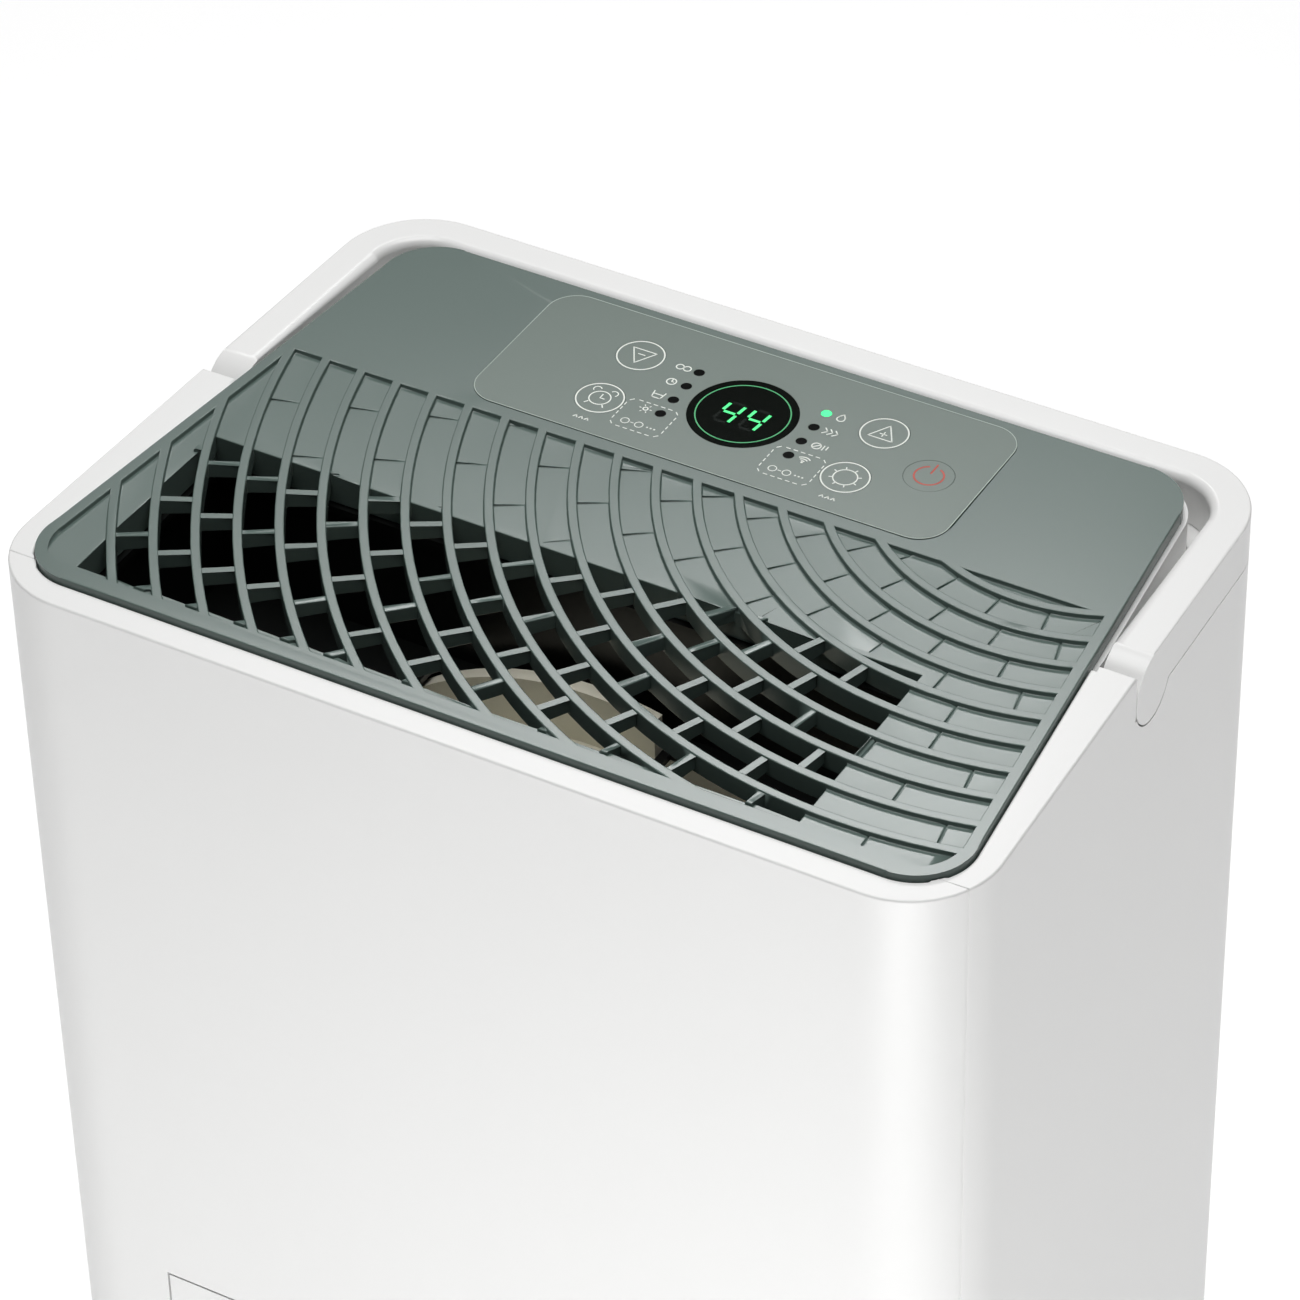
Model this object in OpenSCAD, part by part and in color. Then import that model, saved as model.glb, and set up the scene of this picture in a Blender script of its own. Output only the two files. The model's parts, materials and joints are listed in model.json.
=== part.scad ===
// Portable compressor dehumidifier: plastic shell on castors, top grille with
// control film, fold-up carry handle, fan, cooling circuit and water bucket.
// Units are millimetres. +Z is up, the floor is z = 0, the front faces -Y.

/* [Body] */
// Width across the front of the body
body_w = 340; // [300:1:420]
// Depth from front to back
body_d = 234; // [210:1:300]
// Height of the control film above the floor
body_h = 500; // [420:1:620]
// Inward lean of each side towards the back, degrees
side_lean = 2; // [0:0.5:4]
// Outer corner radius seen from above
corner_r = 30; // [20:1:40]
// Wall thickness of the shells
wall = 2.6; // [2:0.1:4]

/* [Top panel] */
// White rim between the panel and the front face
rim_front = 10; // [6:0.5:16]
// White rim between the panel and each side at the front
rim_side = 7.5; // [5:0.5:12]
// Inward lean of each panel side towards the back, degrees
panel_lean = 5.8; // [2:0.1:8]
// Corner radius of the panel
panel_r = 19; // [10:1:28]
// Height of the panel side wall
panel_side_h = 5; // [5:0.5:14]
// Pitch of the curved ribs
rib_pitch = 12.9; // [9:0.1:18]
// Width of the curved ribs
rib_w = 3; // [2:0.1:4]
// Depth of the ribs over the air opening
rib_h = 7; // [4:0.5:10]
// Width of the short cross bars
bar_w = 2.4; // [1.2:0.1:3]
// Depth of the short cross bars
bar_h = 5; // [3:0.5:8]
// Depth of the blind pockets around the air opening
pocket_h = 1.6; // [0.8:0.1:2]

/* [Controls] */
// Radius of the round display lens
lens_r = 17.9; // [12:0.1:22]
// Radius of each round key
key_r = 8.1; // [6:0.1:10]
// Key travel
key_travel = 0.4; // [0.2:0.05:0.8]

/* [Handle] */
// Width of the handle bar
handle_w = 12.8; // [10:0.1:16]
// Height of the handle bar
handle_h = 17; // [14:0.5:22]
// Distance of the handle pivot behind the middle of the body
pivot_y = 20.5; // [5:0.5:40]
// Radius of the rounded handle ends, centred on the pivot
handle_end_r = 12.3; // [11.5:0.1:14]
// Radius of the handle pins
pin_r = 3.5; // [2.5:0.1:4.5]

/* [Bucket] */
// Bucket width
bucket_w = 239; // [180:1:260]
// Bucket depth
bucket_d = 118; // [90:1:125]
// Bucket height
bucket_h = 190; // [140:1:200]

/* [Cooling] */
// Width of both coils
coil_w = 236; // [180:1:260]
// Radius of the compressor shell
comp_r = 44; // [36:1:46]
// Radius of the fan wheel
fan_r = 64; // [50:1:78]

/* [Castors] */
// Wheel radius
wheel_r = 12.3; // [10:0.1:14]

/* [Hidden] */
$fn = 64;
gap = 0.3;
hw = body_w/2;
yf = -body_d/2;
yb = body_d/2;
zt = body_h - 0.25;               // panel top
zr = zt - 2;                      // rim and handle top
zbase = 2*wheel_r + 3.4;          // underside of the base
zsh = zbase + 2;                  // lower edge of the shells
ysplit = yf + 16;                 // seam between front and rear shell
yn = pivot_y - handle_end_r - 0.6; // rear end of the fixed rim
pvz = zr - handle_end_r;          // height of the pivot
zseat = zr - handle_h - 0.4;      // seat below the handle
pyf = yf + rim_front;             // panel front edge
pyb = yb - handle_w - 3.2;        // panel back edge
pd = pyb - pyf;
pwf = hw - rim_side;
pwb = pwf - pd*tan(panel_lean);
function out_hw(y) = hw - (y - yf)*tan(side_lean);
ox0 = -(pwf - 20.5);              // air opening
ox1 = pwf - 53.5;
oy0 = pyf + 9;
oy1 = pyf + 85;
fy1 = pyb - 73;                   // back edge of the rib field
acx = pwf - 44.5;                 // common centre of the ribs
acy = pyb - 15;
ar0 = 63.1;
ncirc = floor((norm([acx + pwf, acy - pyf]) - 1.5*panel_r - ar0)/rib_pitch);
cyl = pyb - 36;                   // display centre
kx = 44;
ky = [pyb - 24, pyb - 50];
px = 66.5;
py = cyl - 1;
ledx = 23;
ledy = [12.7, 4.4, -3.9, -12.2];
film_t = 0.75;
fz = body_h - film_t;             // film underside
zsk = zt - 12;                    // lower edge of the skirt round the opening
fcz = body_h - 150;               // fan axis height
fso = fan_r + 21;                 // scroll outer radius
ffr = body_h - 45 - fcz;          // radius of the flange on its rear edge
sox = fso*0.28;                   // left side of its upright outlet
fy0 = yf + 37;                    // scroll front face
fy1s = yf + 90;                   // scroll rear face
bkz = zbase + 3.5;                // bucket underside
zshelf = bkz + bucket_h + 4.5;    // drip shelf
spz = zshelf + 11;                // drain spigot axis height
ch = body_h - 45 - (zshelf + 14); // coil height
cz = zshelf + 14;                 // coil underside
eva_y = yb - 47;                  // evaporator front face
con_y = yb - 75;                  // condenser front face
coil_t = 22;
cpx = -55;                        // compressor position
cpy = con_y + 24;                 // its pipes rise in front of the condenser
cpz = zbase + 16;
cph = zshelf - cpz - 32;          // compressor height below the shelf
bdz = zt - 15;                    // control board underside
fxw = coil_w/2 - 14;              // half width of the intake
spx = -fxw - 14;                  // drain spigot, beside the intake
fz0 = zshelf + 20;
fz1 = body_h - 40;

white = [0.93, 0.93, 0.92];
sage = [0.52, 0.58, 0.55];
film_c = [0.47, 0.52, 0.49];
dark = [0.05, 0.05, 0.05];
cream = [0.85, 0.83, 0.74];
metal = [0.7, 0.71, 0.72];
copper = [0.72, 0.42, 0.25];
green = [0.1, 0.45, 0.2];

// ---- shared shapes -------------------------------------------------------

module body2d(g = 0) offset(r = corner_r + g, $fn = 96) offset(delta = -corner_r)
  polygon([[-hw, yf], [hw, yf], [out_hw(yb), yb], [-out_hw(yb), yb]]);

module panel2d(g = 0) offset(r = panel_r + g, $fn = 96) offset(delta = -panel_r)
  polygon([[-pwf, pyf], [pwf, pyf], [pwb, pyb], [-pwb, pyb]]);

module slab(z0, z1) translate([0, 0, z0]) linear_extrude(z1 - z0) children();

module box(a, b) translate(a) cube([b[0]-a[0], b[1]-a[1], b[2]-a[2]]);

module rect2d(x0, y0, x1, y1) translate([x0, y0]) square([x1 - x0, y1 - y0]);

module ycyl(x, y0, y1, z, r) translate([x, y1, z]) rotate([90, 0, 0]) cylinder(r = r, h = y1 - y0);

module xcyl(x0, x1, y, z, r) translate([x0, y, z]) rotate([0, 90, 0]) cylinder(r = r, h = x1 - x0);

module behind(y) translate([-2*hw, y, -10]) cube([4*hw, 2*body_d, 2*body_h]);

// ---- base ----------------------------------------------------------------

cfx = hw - 40;
cfy = yf + 30;
crx = out_hw(yb) - 40;
cry = yb - 28;
fxp = [[-1, 1], [1, 1], [0, -1]];
feet = [[cpx - comp_r - 1, cpy + 26], [cpx + comp_r + 1, cpy + 26], [cpx, cpy - comp_r - 8]];

module base_pan() color(dark) difference() {
  union() {
    slab(zbase, zbase + 3) body2d(-wall - gap);
    slab(zbase, zbase + 30) difference() {
      body2d(-wall - gap);
      body2d(-wall - gap - 2.4);
      rect2d(-bucket_w/2 - 3, yf - 1, bucket_w/2 + 3, yf + 40);
    }
    for (s = [-1, 1]) {
      translate([s*cfx, cfy, zbase]) cylinder(r = 9, h = 16);
      translate([s*crx, cry, zbase]) cylinder(r = 9, h = 16);
      box([s*(bucket_w/2 + 4) - 1.2, yf + 45, zbase], [s*(bucket_w/2 + 4) + 1.2, yf + bucket_d, zbase + 30]);
    }
    box([-bucket_w/2 - 4, yf + bucket_d + 3, zbase], [cpx - 12, yf + bucket_d + 5.4, zbase + 60]);
    box([cpx + 12, yf + bucket_d + 3, zbase], [bucket_w/2 + 4, yf + bucket_d + 5.4, zbase + 60]);
    for (p = feet) translate([p[0], p[1], zbase]) cylinder(r = 8, h = 6);
  }
  for (s = [-1, 1]) {
    translate([s*cfx, cfy, zbase - 1]) cylinder(r = 5.05, h = 20);
    translate([s*crx, cry, zbase - 1]) cylinder(r = 5.05, h = 20);
    for (y = [ysplit + 25, yb - 60]) xcyl(s*(out_hw(y) - 6) - 6, s*(out_hw(y) - 6) + 6, y, zbase + 14, 1.6);
  }
  for (p = feet) translate([p[0], p[1], zbase + 2]) cylinder(r = 3.05, h = 6);
}

// ---- castors ---------------------------------------------------------------

trail = 8;

module castor_fork(x, y) translate([x, y, 0]) difference() {
  union() {
    translate([0, 0, zbase - 3.3]) cylinder(r = 13, h = 3);
    translate([0, 0, zbase - 1]) cylinder(r = 5, h = 16.8);
    for (s = [-1, 1]) difference() {
      box([s*9.8 - 1.3, -2, wheel_r - 5], [s*9.8 + 1.3, trail + 6, zbase - 0.9]);
      xcyl(s*9.8 - 3, s*9.8 + 3, trail, wheel_r, 2.5);
    }
  }
  translate([0, 0, zbase + 12.6]) cylinder(r = 2.4, h = 5);
}

module castor_axle(x, y) translate([x, y, 0]) xcyl(-11.6, 11.6, trail, wheel_r, 2.5);

module castor_wheel(x, y) translate([x, y + trail, wheel_r]) rotate([0, 90, 0]) difference() {
  union() {
    rotate_extrude($fn = 96) polygon([[2.56, -7.5], [wheel_r - 1.6, -7.5], [wheel_r - 0.4, -6.6],
      [wheel_r, -5.2], [wheel_r, 5.2], [wheel_r - 0.4, 6.6], [wheel_r - 1.6, 7.5], [2.56, 7.5]]);
  }
  for (s = [-1, 1]) translate([0, 0, s*7.5]) rotate_extrude($fn = 64) rect2d(4.6, -1.4, wheel_r - 3.2, 1.4);
}

module castor_fork_left() color(dark) castor_fork(-cfx, cfy);
module castor_fork_right() color(dark) castor_fork(cfx, cfy);
module castor_axle_left() color(metal) castor_axle(-cfx, cfy);
module castor_axle_right() color(metal) castor_axle(cfx, cfy);
module rear_castor_forks() color(dark) for (s = [-1, 1]) castor_fork(s*crx, cry);
module rear_castor_axles() color(metal) for (s = [-1, 1]) castor_axle(s*crx, cry);
module wheel_front_left() color(dark) castor_wheel(-cfx, cfy);
module wheel_front_right() color(dark) castor_wheel(cfx, cfy);
module wheel_rear_left() color(dark) castor_wheel(-crx, cry);
module wheel_rear_right() color(dark) castor_wheel(crx, cry);

// ---- shells ----------------------------------------------------------------

module seat_cut() intersection() {
  slab(zseat, zr + 1) body2d(5);
  behind(yn);
}

module shell_body() difference() {
  slab(zsh, zr) body2d();
  slab(zsh - 1, zseat - 2.6) body2d(-wall);
  difference() {
    slab(zseat - 3, zr - 2.6) body2d(-wall);
    behind(yn - 2.6);
  }
  slab(zseat - 5, zr - 2.6) panel2d(1.9);
  slab(zr - 3, zr + 1) panel2d(0.4);
  intersection() {
    slab(zr - 3, zr + 1) panel2d(1.9);
    behind(yn - 2.6);
  }
  seat_cut();
  // round seats for the handle ends
  for (s = [-1, 1]) xcyl(s*(hw - 14) - 16, s*(hw - 14) + 16, pivot_y, pvz, handle_end_r + 0.6);
}

module front_shell() color(white) difference() {
  shell_body();
  behind(ysplit - gap/2);
  box([-bucket_w/2 - 0.8, yf - 1, zsh - 1], [bucket_w/2 + 0.8, yf + 30, bkz + bucket_h + 0.8]);
}

module rear_shell() color(white) {
  difference() {
    intersection() {
      shell_body();
      behind(ysplit + gap/2);
    }
    // intake
    box([-fxw, yb - 20, fz0], [fxw, yb + 1, fz1]);
    // drain port, cord gland
    ycyl(spx, yb - 20, yb + 1, spz, 12);
    ycyl(118, yb - 20, yb + 1, zbase + 50, 8.1);
    // side screws
    for (s = [-1, 1]) for (y = [ysplit + 25, yb - 60]) xcyl(s*out_hw(y) - 8, s*out_hw(y) + 8, y, zbase + 14, 2.1);
  }
  // ledges for the drip shelf and tongues that hold the front shell
  for (s = [-1, 1]) {
    intersection() {
      slab(zshelf - 4, zshelf) difference() { body2d(-wall + 0.5); body2d(-wall - 6); }
      box([s*hw - 40, yf + 60, 0], [s*hw + 40, yb - 40, body_h]);
    }
    intersection() {
      union() for (z = [zsh + 40, zsh + 220, zsh + 400]) slab(z, z + 20)
        difference() { body2d(-wall - 0.1); body2d(-wall - 2.2); }
      box([s*hw - 30, ysplit - 6, 0], [s*hw + 30, ysplit + 6, body_h]);
    }
    intersection() {
      union() for (z = [zsh + 40, zsh + 220, zsh + 400]) slab(z, z + 20)
        difference() { body2d(-wall + 0.4); body2d(-wall - 2.2); }
      box([s*hw - 30, ysplit + 2, 0], [s*hw + 30, ysplit + 9, body_h]);
    }
  }
}

module shell_screws() color(metal) for (s = [-1, 1]) for (y = [ysplit + 25, yb - 60])
  translate([s*(out_hw(y) - 1.0), y, zbase + 14]) rotate([0, s*90, 0]) difference() {
    union() {
      translate([0, 0, -9]) cylinder(r = 1.55, h = 9.4);
      translate([0, 0, -1.6 + 0.0]) cylinder(r = 1.9, h = 2.0);
    }
    translate([0, 0, -0.6]) for (a = [0, 90]) rotate(a) translate([-1.3, -0.25, 0]) cube([2.6, 0.5, 2]);
  }

// ---- top frame, panel and controls -----------------------------------------

module top_frame() color(white) difference() {
  union() {
    slab(zt - 26, zt - panel_side_h) difference() { panel2d(1.5); panel2d(-1.1); }
    slab(zt - 26, zt - 23.5) panel2d(0);
    for (x = [-68, 68]) for (y = [cyl - 26, cyl + 26]) translate([x, y, zt - 24]) cylinder(r = 3, h = bdz - zt + 24);
    // bosses that carry the handle pins
    for (s = [-1, 1]) xcyl(s*(out_hw(pivot_y) - handle_w - 10) - 9, s*(out_hw(pivot_y) - handle_w - 10) + 9, pivot_y, pvz, pin_r + 2.5);
  }
  slab(zt - 30, zt - 20) rect2d(ox0 - 5, oy0 - 5, ox1 + 5, oy1 + 5);
  // nothing stands above the seat of the panel
  slab(zt - panel_side_h, zt + 5) body2d(5);
  for (s = [-1, 1]) {
    xcyl(s*(out_hw(pivot_y) - handle_w - 10) - 20, s*(out_hw(pivot_y) - handle_w - 10) + 20, pivot_y, pvz, pin_r);
    // flat end of each pin boss, clear of the handle
    box([s*(out_hw(pivot_y) - handle_w + 14.4) - 15, pivot_y - 20, zr - 30], [s*(out_hw(pivot_y) - handle_w + 14.4) + 15, pivot_y + 20, zt - 3]);
  }
  for (x = [-68, 68]) for (y = [cyl - 26, cyl + 26]) translate([x, y, zt - 20]) cylinder(r = 1.2, h = 20);
}

module ribs2d() for (k = [0 : ncirc]) difference() {
  translate([acx, acy]) circle(r = ar0 + k*rib_pitch + rib_w/2, $fn = 180);
  translate([acx, acy]) circle(r = ar0 + k*rib_pitch - rib_w/2, $fn = 180);
}

module bar(k, a, w) translate([acx, acy]) rotate(a)
  translate([ar0 + k*rib_pitch + rib_w/2 - 0.4, -w/2]) square([rib_pitch - rib_w + 0.8, w]);

// cross bars over the opening: rows that fan out along the air path
module open_bars2d() for (k = [4 : ncirc - 1]) {
  q = k - 4;
  base = 248.4 - 3.95*min(q, 10) - 1.6*max(0, q - 10);
  p = min(8.9, 1560/(ar0 + (k + 0.5)*rib_pitch));
  for (n = [-6 : (q < 2 ? 1 : 4)]) bar(k, base + n*p, bar_w);
}

// fine dividing lines in the blind pockets, laid like bricks
module blind_bars2d() for (k = [0 : ncirc - 1]) {
  p = k < 5 ? 14.5 - 0.45*k : 12.6;
  base = (k < 5 ? 251 - 0.75*k : 217) + (k % 2 == 1 ? p/2 : 0);
  for (n = [-4 : 5]) bar(k, base + n*p, 0.7);
}

module field2d() intersection() {
  panel2d(-4);
  rect2d(-hw, pyf + 6.5, hw, fy1);
}

module open2d(g = 0) rect2d(ox0 - g, oy0 - g, ox1 + g, oy1 + g);

module top_plate() color(sage) difference() {
  union() {
    // panel with its side wall and the pockets
    difference() {
      slab(zt - panel_side_h, zt) panel2d();
      slab(zt - panel_side_h - 1, zt - 3) panel2d(-2.4);
      slab(zt - pocket_h, zt + 1) field2d();
      // fine grooves that divide the pockets
      slab(zt - pocket_h - 0.5, zt) intersection() { difference() { blind_bars2d(); open2d(2); } field2d(); }
      slab(zt - 20, zt + 1) open2d();
    }
    // skirt round the opening
    slab(zsk, zt - 2) difference() { open2d(2); open2d(); }
    // ribs
    slab(zt - pocket_h - 0.4, zt) intersection() { ribs2d(); field2d(); }
    slab(zt - rib_h, zt) intersection() { ribs2d(); open2d(1); field2d(); }
    // cross bars
    slab(zt - bar_h - 0.5, zt - 0.5) intersection() { open_bars2d(); open2d(1); field2d(); }
    // bosses for the control board screws
    for (x = [-68, 68]) for (y = [cyl - 26, cyl + 26]) translate([x, y, bdz + 1.6]) cylinder(r = 3, h = zt - 2 - bdz - 1.6);
  }
  // film seat, lens seat and window
  slab(fz, zt + 1) film_outline(0.15);
  translate([0, cyl, zt - 1.6]) cylinder(r = lens_r + 0.15, h = 3);
  translate([0, cyl, zt - 5]) cylinder(r = lens_r - 2.4, h = 6);
  for (s = [-1, 1]) {
    for (y = ky) translate([s*kx, y, zt - 5]) cylinder(r = key_r + 0.3, h = 6);
    for (d = ledy) translate([s*ledx, cyl + d, zt - 5]) cylinder(r = 1.85, h = 6);
  }
  translate([px, py, zt - 5]) cylinder(r = key_r + 0.3, h = 6);
  for (x = [-68, 68]) for (y = [cyl - 26, cyl + 26]) translate([x, y, bdz + 1]) cylinder(r = 1.2, h = 8);
}

module film_outline(g = 0) offset(r = 10.5 + g, $fn = 64) offset(delta = -10.5)
  rect2d(-84.3, pyb - 68, 84.3, pyb - 3.6);

module control_film() color(film_c) difference() {
  slab(fz, body_h) film_outline();
  translate([0, cyl, fz - 1]) cylinder(r = lens_r + 0.1, h = 3);
  for (s = [-1, 1]) {
    for (y = ky) translate([s*kx, y, fz - 1]) cylinder(r = key_r + 0.1, h = 3);
    for (d = ledy) translate([s*ledx, cyl + d, fz - 1]) cylinder(r = 1.85, h = 3);
  }
  translate([px, py, fz - 1]) cylinder(r = key_r + 0.1, h = 3);
}

module display_lens() color(dark) translate([0, cyl, zt - 1.6]) cylinder(r = lens_r, h = body_h - zt + 1.6, $fn = 128);

module display_module() color(dark) {
  box([-13, cyl - 10, bdz + 1.6], [13, cyl + 10, zt - 4]);
  // segment windows
  for (dx = [-6.2, 6.2]) for (sy = [-1, 1]) for (sx = [-1, 1])
    box([dx + sx*3.2 - 0.7, cyl + sy*3.2 - 2.6, zt - 4.2], [dx + sx*3.2 + 0.7, cyl + sy*3.2 + 2.6, zt - 3.6]);
}

module led(x, d) translate([x, cyl + d, 0]) {
  translate([0, 0, zt - 3.8]) cylinder(r = 1.75, h = body_h - zt + 3.8, $fn = 32);
  translate([0, 0, bdz + 1.6]) cylinder(r = 2.5, h = zt - 3.2 - bdz - 1.6, $fn = 32);
}

module led_lens_lit() color(green) led(ledx, ledy[0]);
module led_lenses() color(dark) {
  for (d = ledy) led(-ledx, d);
  for (i = [1:3]) led(ledx, ledy[i]);
}

module control_board() color(green) difference() {
  slab(bdz, bdz + 1.6) rect2d(-76, cyl - 32, 76, cyl + 32);
  for (x = [-68, 68]) for (y = [cyl - 26, cyl + 26]) translate([x, y, bdz - 1]) cylinder(r = 1.6, h = 4);
}

module tact(x, y) translate([x, y, bdz + 1.6]) {
  translate([-3, -3, 0]) cube([6, 6, 3.4]);
  translate([0, 0, 3]) cylinder(r = 1.7, h = 1.6, $fn = 32);
}

module tact_switches() color(dark) {
  for (s = [-1, 1]) for (y = ky) tact(s*kx, y);
  tact(px, py);
}

module keycap(x, y) translate([x, y, 0]) {
  translate([0, 0, zt - 4]) cylinder(r = key_r, h = body_h - zt + 4.05, $fn = 96);
  translate([0, 0, zt - 4.6]) cylinder(r = key_r + 1.6, h = 1.4, $fn = 96);
  translate([0, 0, bdz + 1.6 + 4.6 + key_travel + 0.1]) cylinder(r = 2, h = zt - 4.3 - (bdz + 6.7 + key_travel - 0.4), $fn = 32);
}

module key_minus() color(film_c) keycap(-kx, ky[0]);
module key_timer() color(film_c) keycap(-kx, ky[1]);
module key_plus() color(film_c) keycap(kx, ky[0]);
module key_mode() color(film_c) keycap(kx, ky[1]);
module key_power() color(film_c) keycap(px, py);

// ---- carry handle ------------------------------------------------------------

module handle() color(white) difference() {
  union() {
    intersection() {
      slab(zr - handle_h, zr) difference() { body2d(); body2d(-handle_w); }
      behind(pivot_y);
    }
    intersection() {
      union() for (s = [-1, 1]) xcyl(s*hw - 40, s*hw + 40, pivot_y, pvz, handle_end_r);
      slab(zr - 2*handle_end_r - 1, zr) difference() { body2d(); body2d(-handle_w); }
    }
  }
  for (s = [-1, 1]) xcyl(s*(out_hw(pivot_y) - handle_w) - 7.5, s*(out_hw(pivot_y) - handle_w) + 7.5, pivot_y, pvz, pin_r + 0.05);
}

module handle_pins() color(metal) for (s = [-1, 1]) {
  x = s*(out_hw(pivot_y) - handle_w);
  xcyl(min(x - s*21, x + s*6.8), max(x - s*21, x + s*6.8), pivot_y, pvz, pin_r);
  xcyl(min(x - s*21, x - s*19.2), max(x - s*21, x - s*19.2), pivot_y, pvz, pin_r + 1.6);
}

// ---- air path ------------------------------------------------------------------

module outlet_duct() color(dark) difference() {
  union() {
    slab(zsk - 50, zsk - 0.5) difference() { open2d(4); open2d(2); }
    slab(zsk - 3, zsk - 0.5) difference() { open2d(2.2); open2d(-1.5); }
    slab(zsk - 50, zsk - 48) open2d(2.4);
  }
  // throat over the fan housing, and the mouth of its outlet
  box([-ffr*0.58, fy0 - 0.6, zsk - 52], [sox - 1, fy1s + 0.6, zsk - 40]);
  box([sox + 2.2, fy0 + 2.2, zsk - 52], [min(fso, ox1) - 2.2, fy1s - 2.2, zsk - 40]);
}

// housing outline: a drum with an upright outlet on the right
module scroll2d(g = 0) translate([0, fcz]) {
  circle(r = fso + g, $fn = 180);
  rect2d(sox - g, 0, fso + g, zsk - 50.5 - fcz);
}

module yslab(y0, y1) translate([0, y1, 0]) rotate([90, 0, 0]) linear_extrude(y1 - y0) children();

module scroll_half(y0, y1, face0, hole_r) difference() {
  union() {
    yslab(y0, y1) scroll2d();
    if (!face0) yslab(y1 - 5, y1) translate([0, fcz]) intersection() {
      circle(r = ffr, $fn = 180);
      rect2d(-ffr, 0, sox - 1.6, ffr);
    }
    // legs that stand on the shelf
    for (x = [-46, 34]) box([x, y0, zshelf + 3], [x + 12, y1, fcz - fso*0.8]);
  }
  // inside
  difference() {
    yslab(face0 ? y0 + 2.2 : y0 - 1, face0 ? y1 + 1 : y1 - 2.2) scroll_in2d();
  }
  ycyl(0, y0 - 1, y1 + 1, fcz, hole_r);
}

module scroll_in2d() translate([0, fcz]) {
  circle(r = fso - 2.2, $fn = 180);
  rect2d(sox + 2.2, 0, fso - 2.2, zsk - 20 - fcz);
}

fym = (fy0 + fy1s)/2;

module scroll_front() color(cream) difference() {
  scroll_half(fy0, fym - 0.1, true, 12);
  for (a = [45, 135, 225, 315]) ycyl(34*cos(a), fy0 - 1, fy0 + 3, fcz + 34*sin(a), 2);
}

module scroll_rear() color(cream) scroll_half(fym + 0.1, fy1s, false, fan_r*0.78);

module fan_impeller() color(dark) translate([0, 0, fcz]) {
  difference() {
    union() {
      ycyl(0, fy0 + 6, fy0 + 8.2, 0, fan_r);
      ycyl(0, fy0 + 6, fy0 + 24, 0, 9);
      translate([0, fy1s - 8, 0]) rotate([90, 0, 0]) difference() {
        cylinder(r = fan_r, h = 3, $fn = 96);
        translate([0, 0, -1]) cylinder(r = fan_r - 12, h = 5, $fn = 96);
      }
      for (i = [0:27]) translate([0, fy1s - 9, 0]) rotate([90, i*360/28, 0])
        linear_extrude(fy1s - fy0 - 16) translate([fan_r - 10.5, 0]) rotate(28) rect2d(-1, -0.7, 10, 0.7);
    }
    ycyl(0, fy0, fy0 + 40, 0, 4);
  }
}

module motor_shaft() color(metal) ycyl(0, fy0 - 34, fy0 + 24, fcz, 4);

module fan_motor() color(metal) difference() {
  union() {
    ycyl(0, fy0 - 29, fy0 - 0.2, fcz, 40);
    ycyl(0, fy0 - 31.5, fy0 - 28, fcz, 12);
    for (a = [45, 135, 225, 315]) ycyl(34*cos(a), fy0 - 2, fy0 + 4.5, fcz + 34*sin(a), 1.95);
  }
  ycyl(0, fy0 - 40, fy0 + 10, fcz, 4.05);
}

// ---- cooling circuit -------------------------------------------------------------

nrow = floor((ch - 12)/25.4);

module coil_holes(y, r) for (i = [0 : nrow - 1]) for (j = [0, 1])
  xcyl(-coil_w, coil_w, y + 6 + j*10, cz + 12 + i*25.4 + j*12.7, r);

module coil_fins(y) difference() {
  box([-coil_w/2, y, cz], [coil_w/2, y + coil_t, cz + ch]);
  coil_holes(y, 4.05);
  // shallow grooves between fin packs
  for (x = [-coil_w/2 + 8 : 8 : coil_w/2 - 4]) {
    box([x, y - 1, cz - 1], [x + 0.8, y + 1, cz + ch + 1]);
    box([x, y + coil_t - 1, cz - 1], [x + 0.8, y + coil_t + 1, cz + ch + 1]);
  }
}

module coil_tubes(y) {
  for (i = [0 : nrow - 1]) {
    for (j = [0, 1]) xcyl(-coil_w/2 - 9, coil_w/2 + 9, y + 6 + j*10, cz + 12 + i*25.4 + j*12.7, 4);
    // return bends: each joins the two tubes of one row
    for (t = [-1, 1]) translate([t*(coil_w/2 + 6.2), y + 6, cz + 12 + i*25.4])
      rotate([-atan2(10, 12.7), 0, 0]) cylinder(r = 3.2, h = norm([10, 12.7]), $fn = 32);
  }
}

module evaporator_fins() color(metal) coil_fins(eva_y);
module evaporator_tubes() color(copper) coil_tubes(eva_y);
module condenser_fins() color(metal) coil_fins(con_y);
module condenser_tubes() color(copper) coil_tubes(con_y);

module coil_end_plates() color(metal) for (s = [-1, 1]) difference() {
  box([s*(coil_w/2 + 1.6) - 0.8, con_y - 3, zshelf + 3], [s*(coil_w/2 + 1.6) + 0.8, eva_y + coil_t, cz + ch]);
  coil_holes(eva_y, 4.1);
  coil_holes(con_y, 4.1);
}

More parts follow.
